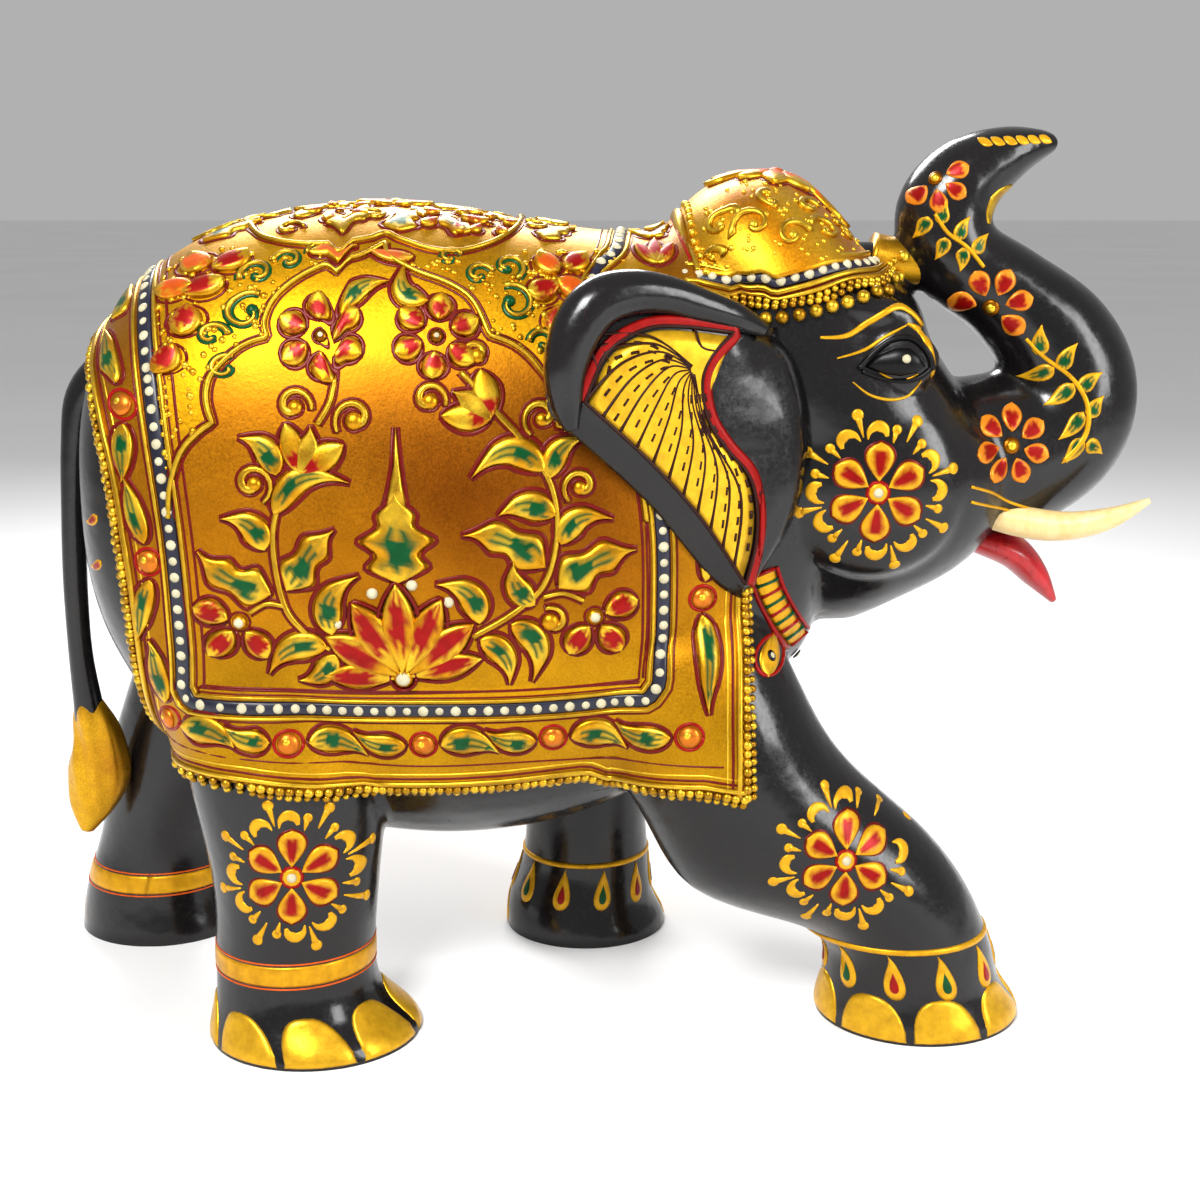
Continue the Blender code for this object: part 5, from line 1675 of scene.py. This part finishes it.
def make_ear_board(side, label):
    """The carved flap: its painted face is framed by an edge that slopes back all round."""
    face = resample(EAR_RING, 0.9)[:-1]
    count = len(face)
    back = resample(EAR_BACK + EAR_BACK[:1], 0.9)
    back = [back[round(i * (len(back) - 1) / count)] for i in range(count)]
    middle = (14.0, 108.0)
    rings = []              # of (x, z, rise); the front edge sinks further, to meet the head
    for share, rise in ((0.4, 0.0), (0.7, 0.0), (1.0, 0.0)):
        rings.append([(middle[0] + (x - middle[0]) * share, middle[1] + (z - middle[1]) * share,
                       rise) for x, z in face])
    for share, rise, front_rise in ((0.35, -0.9, -0.1), (0.65, -1.6, -0.3), (0.85, -2.1, -1.6),
                                    (1.0, -2.6, -4.4), (1.0, -EAR_THICK, -EAR_THICK - 2.4)):
        rings.append([(x0 + (x1 - x0) * share, z0 + (z1 - z0) * share,
                       front_rise if x1 > 26.2 and z1 < 129 else rise)
                      for (x0, z0), (x1, z1) in zip(face, back)])
    rings.append([(middle[0] + (x - middle[0]) * 0.5, middle[1] + (z - middle[1]) * 0.5,
                   -EAR_THICK) for x, z in back])

    def spot(x, z, rise):
        here, normal = ear_place(side)(x, z)
        return here + normal * rise

    points = [spot(*middle, 0.0)]
    for ring in rings:
        points += [spot(*p) for p in ring]
    points.append(spot(*middle, -EAR_THICK))
    faces = dome_faces(count, len(rings))
    last = last_ring(count, len(rings))
    faces += [(last[i], len(points) - 1, last[(i + 1) % count]) for i in range(count)]
    add_piece(f"{label}_ear_board", closed_mesh(points, faces), "lacquer", "black_lacquer",
              f"{label}_ear", sharp=math.radians(60))


def make_ear_root(side, label):
    work = bmesh.new()
    tube(work, [(29.0, side * 20.5, 84, 3.0, 4.4), (29.0, side * 22.5, 99, 3.6, 5.6),
                (28.6, side * 22.8, 112, 3.8, 5.8), (26.6, side * 21.5, 127, 4.0, 5.0)], 24)
    add_piece(f"{label}_ear_root", mesh_of(work), "lacquer", "black_lacquer")


def make_ear_roll(side, label):
    """The black rolled rim along the ear's back and top."""
    rows = []
    for x, z, radius in ((-4.6, 112.4, 1.2), (-5.4, 116.4, 2.6), (-5.6, 122.4, 3.6),
                         (-3.8, 128.4, 4.2), (-0.4, 132.6, 4.3), (4.6, 134.2, 3.9),
                         (10.6, 133.8, 3.3), (16.6, 132.0, 2.9), (22.6, 130.0, 2.3),
                         (27.6, 127.6, 1.2)):
        rows.append((x, side * (ear_depth(x) - 1.0), z, radius, radius * 0.95))
    work = bmesh.new()
    tube(work, rows, 28, 8)
    mesh = mesh_of(work)
    roll = Surface(mesh.copy())
    add_piece(f"{label}_ear_roll", mesh, "lacquer", "black_lacquer")
    crack = Relief(flank_place(side, roll))
    crack.band([(-2.9, 133.6), (-2.5, 132.0), (-2.2, 130.4), (-1.8, 128.6)], 0.17, 0.05,
               (EAR_BROWN, 0.0), across=3, sink=0.05)
    crack.build(f"{label}_ear_crack", "black_lacquer")


def between(path, first, last):
    """The path moved sideways by first at its start and last at its end."""
    near, far = shifted(path, first), shifted(path, last)
    moved = []
    for index, (a, b) in enumerate(zip(near, far)):
        share = index / (len(path) - 1)
        moved.append((a[0] + (b[0] - a[0]) * share, a[1] + (b[1] - a[1]) * share))
    return moved


def make_ear_paint(side, label):
    """The ear's yellow face with its fan of fine dark lines and dashes, and the red border."""
    relief = Relief(ear_place(side))
    relief.blob(resample(EAR_RING, 0.9)[:-1], 0.35, (EAR_YELLOW, 0.5), 6, base=0.1, flat=0.12)
    relief.build(f"{label}_ear_face")
    lines = Relief(ear_place(side, 0.46))
    rim = resample(EAR_REAR + EAR_TOP[:1], 4.0)
    for index in range(-2, len(rim) - 1):
        share = index / (len(rim) - 2)
        end = rim[len(rim) - 1 - index] if index >= 0 else (-1.6 - 0.6 * index, 117.6 - 2.2 * index)
        start = polar(EAR_HEEL, 150 + 110 * share, 0.8)
        first = (9.5 + 8.2 * share, 124.8 - 13.0 * share)
        second = (3.0 + 20.6 * share, 122.8 - 22.4 * share)
        path = spline([start, first, second, end], 8)
        lines.band(path, lambda s: 0.16 + 0.14 * s, 0.1, (EAR_BROWN, 0.1), across=3, sink=0.06)
        beside = resample(between(path, 1.0, 2.0), 0.7)
        for first_step in range(5, len(beside) - 3, 4):
            lines.band(beside[first_step:first_step + 3], 0.26, 0.1, (EAR_BROWN, 0.1), across=3,
                       sink=0.06)
    line(lines, EAR_RING, 0.3, 0.14, EAR_BROWN)
    border = EAR_TOP + EAR_FRONT + EAR_FACE[:1]
    lines.band(shifted(resample(border, 0.8), 0.8), 0.9, 0.35, (RED, 0.1), across=5, base=-0.3)
    lines.band(spline([(15.4, 128.6), (16.6, 125.4), (19.2, 124.6)], 5), 0.25, 0.12,
               (EAR_BROWN, 0.1), across=3)
    lines.build(f"{label}_ear_lines", "red_paint")


# ---- tail, tusks, tongue and necklace ----
TAIL = [(-84, 0, 121, 3.4, 3.4), (-91, 0, 118.5, 3.6, 3.6), (-96, 0, 113, 3.3, 3.3),
        (-98, 0, 104, 2.7, 2.7), (-99.2, 0.5, 92, 2.4, 2.4), (-100.2, 1.5, 78, 2.3, 2.3),
        (-100.6, 3, 64, 2.3, 2.3), (-100.4, 5, 53, 2.8, 2.6), (-99.3, 7, 44.5, 5.0, 3.4),
        (-100, 8, 37.5, 6.2, 3.6), (-102, 8.5, 30.5, 4.4, 2.8), (-103.4, 9, 25, 1.3, 1.3)]
TUSK = [(70, 9, 93, 2.6, 2.6), (78, 11, 91.4, 2.9, 2.9), (85, 13, 91.2, 2.6, 2.6),
        (92, 14.8, 93.0, 1.9, 1.9), (98.5, 16, 96.4, 0.5, 0.5)]
TONGUE = [(66, 0, 88, 2.2, 6.0), (72, 0, 86.5, 3.0, 7.0), (78, 0, 84, 3.2, 6.5),
          (82.5, 0, 79.5, 2.5, 4.6), (86.3, 0, 74.5, 0.7, 1.4)]


def make_tail():
    work = bmesh.new()
    tube(work, TAIL[:8] + [(-100.2, 5.6, 49.6, 3.2, 2.7)], 24)
    add_piece("tail_stem", mesh_of(work), "lacquer", "black_lacquer", "tail")
    work = bmesh.new()
    tube(work, [(-100.2, 4.8, 53.6, 2.2, 2.2), (-100.0, 5.6, 50.4, 3.6, 3.1)] + TAIL[8:], 40)
    for vertex in work.verts:
        x, y, z = vertex.co
        groove = 0.22 * math.cos(7 * math.atan2(y - 8, x + 100) + 0.12 * z)
        vertex.co.x += groove * (x + 100) / 6
        vertex.co.y += groove * (y - 8) / 4
    add_piece("tail_tuft", mesh_of(work), "gold", "gold_paint")


def make_mouth():
    for label, side in SIDES:
        work = bmesh.new()
        tube(work, [(x, side * y, z, a, b) for x, y, z, a, b in TUSK], 24)
        add_piece(f"{label}_tusk_form", mesh_of(work), "ivory", "ivory_paint", f"{label}_tusk")
    work = bmesh.new()
    tube(work, TONGUE, 28)
    add_piece("tongue_form", mesh_of(work), "tongue", "red_paint", "tongue")


def make_necklace(side, label):
    """A striped band down the neck joint, with pendants and dots in front of the chest."""
    relief = Relief(flank_place(side))
    band = spline([(28.6, 85.4), (30.0, 81.4), (32.6, 76.4), (36.0, 71.0)], 8)
    line(relief, shifted(band, 2.5), 0.45, 0.5, RED)
    line(relief, shifted(band, -2.5), 0.45, 0.5, RED)
    relief.band(band, 2.2, 0.5, (ENAMEL, 0.6), across=7)
    for index, (x, z) in enumerate(resample(band, 2.1)):
        du, dv = side_vector(band, min(index * 4, len(band) - 1))
        relief.band([(x - 1.9 * du, z - 1.9 * dv), (x, z), (x + 1.9 * du, z + 1.9 * dv)], 0.42, 0.2,
                    (GREEN if index % 2 else RED, 0.1), across=5, base=0.5)
    for at, angle, size in (((30.0, 70.6), 78, 6.4), ((36.4, 66.6), 70, 5.4)):
        start = polar(at, angle + 180, size / 2)
        petal(relief, start, angle, size, size * 0.72, ENAMEL, 1, 0.3, False)
        line(relief, circle(at, size * 0.46, 18), 0.4, 0.3, RED)
        relief.bead(*at, 1.1, (BLACK, 0.0), 0.3, base=0.3)
        relief.bead(*at, 0.6, (PEARL, 0.0), 0.4, base=0.5)
    relief.build(f"{label}_necklace_paint", "gold_paint", (f"{label}_necklace",))


def make_rump_paint(side, label):
    """The faint painted girdle across the rump beside the tail."""
    relief = Relief(cloth_place(side, 0.05))
    for t, v, fall in ((-84.6, 100.0, 1.1), (-84.4, 84.0, 0.4)):
        relief.band([(t - 0.6 * i, v - fall * i) for i in range(12)], 0.5, 0.12, (BRONZE, 0.4),
                    across=5)
    for v in (96.0, 88.0):
        drop_leaf(relief, (-86.0, v), 200, 5.0, 2.2, RED, v)
    relief.build(f"{label}_rump_paint")


make_tail()
make_mouth()
for LABEL, SIDE in SIDES:
    make_ear_board(SIDE, LABEL)
    make_ear_root(SIDE, LABEL)
    make_ear_roll(SIDE, LABEL)
    make_ear_paint(SIDE, LABEL)
    make_necklace(SIDE, LABEL)
    make_rump_paint(SIDE, LABEL)


# ---- the dowels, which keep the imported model's own shapes ----
for node in bpy.data.objects:
    if node.type == "MESH" and node.name.endswith("_dowel"):
        node.data.materials.clear()
        node.data.materials.append(MATERIALS["wood"])


# ---- camera, floor and light ----
CAMERA_AT, CAMERA_DOWN, CAMERA_LENS = (0, -330, 150), 12.9, 53.28
FLOOR_SIZE = 20.0


def make_camera():
    data = bpy.data.cameras.new("camera")
    data.sensor_width = 36.0
    data.lens = CAMERA_LENS
    data.clip_start, data.clip_end = 0.01, 10.0
    item = bpy.data.objects.new("camera", data)
    item.location = world(CAMERA_AT)
    item.rotation_euler = (math.radians(90 - CAMERA_DOWN), 0, 0)
    bpy.context.scene.collection.objects.link(item)
    bpy.context.scene.camera = item


def make_floor():
    work = bmesh.new()
    bmesh.ops.create_grid(work, x_segments=1, y_segments=1, size=FLOOR_SIZE)
    floor = bpy.data.objects.new("floor", mesh_of(work, "floor"))
    bpy.context.scene.collection.objects.link(floor)
    n = Nodes("floor_paper")
    soft = n.noise(0.004, 2.0, 0.4)
    n.shade(Base_Color=n.ramp(soft, (0.3, (0.84, 0.84, 0.84)), (0.7, (0.88, 0.88, 0.88))),
            Roughness=0.9)
    floor.data.materials.append(n.material)


def area_light(name, place, aim, size, power):
    data = bpy.data.lights.new(name, "AREA")
    data.shape = "RECTANGLE"
    data.size, data.size_y = size[0] * MM, size[1] * MM
    data.energy = power
    item = bpy.data.objects.new(name, data)
    item.location = world(place)
    direction = world(aim) - world(place)
    item.rotation_euler = direction.to_track_quat("-Z", "Y").to_euler()
    bpy.context.scene.collection.objects.link(item)


def make_light():
    world_light = bpy.data.worlds.new("studio")
    world_light.use_nodes = True
    background = world_light.node_tree.nodes["Background"]
    background.inputs["Color"].default_value = (1.0, 1.0, 1.0, 1.0)
    background.inputs["Strength"].default_value = 0.44
    bpy.context.scene.world = world_light
    bpy.context.scene.view_settings.view_transform = "Standard"
    area_light("key", (-180, -420, 480), (-10, 0, 80), (220, 180), 4.7)
    area_light("fill", (420, -300, 260), (20, 0, 90), (160, 300), 1.9)
    area_light("rim", (-80, 380, 420), (-10, 0, 90), (300, 160), 2.8)


make_camera()
make_floor()
make_light()
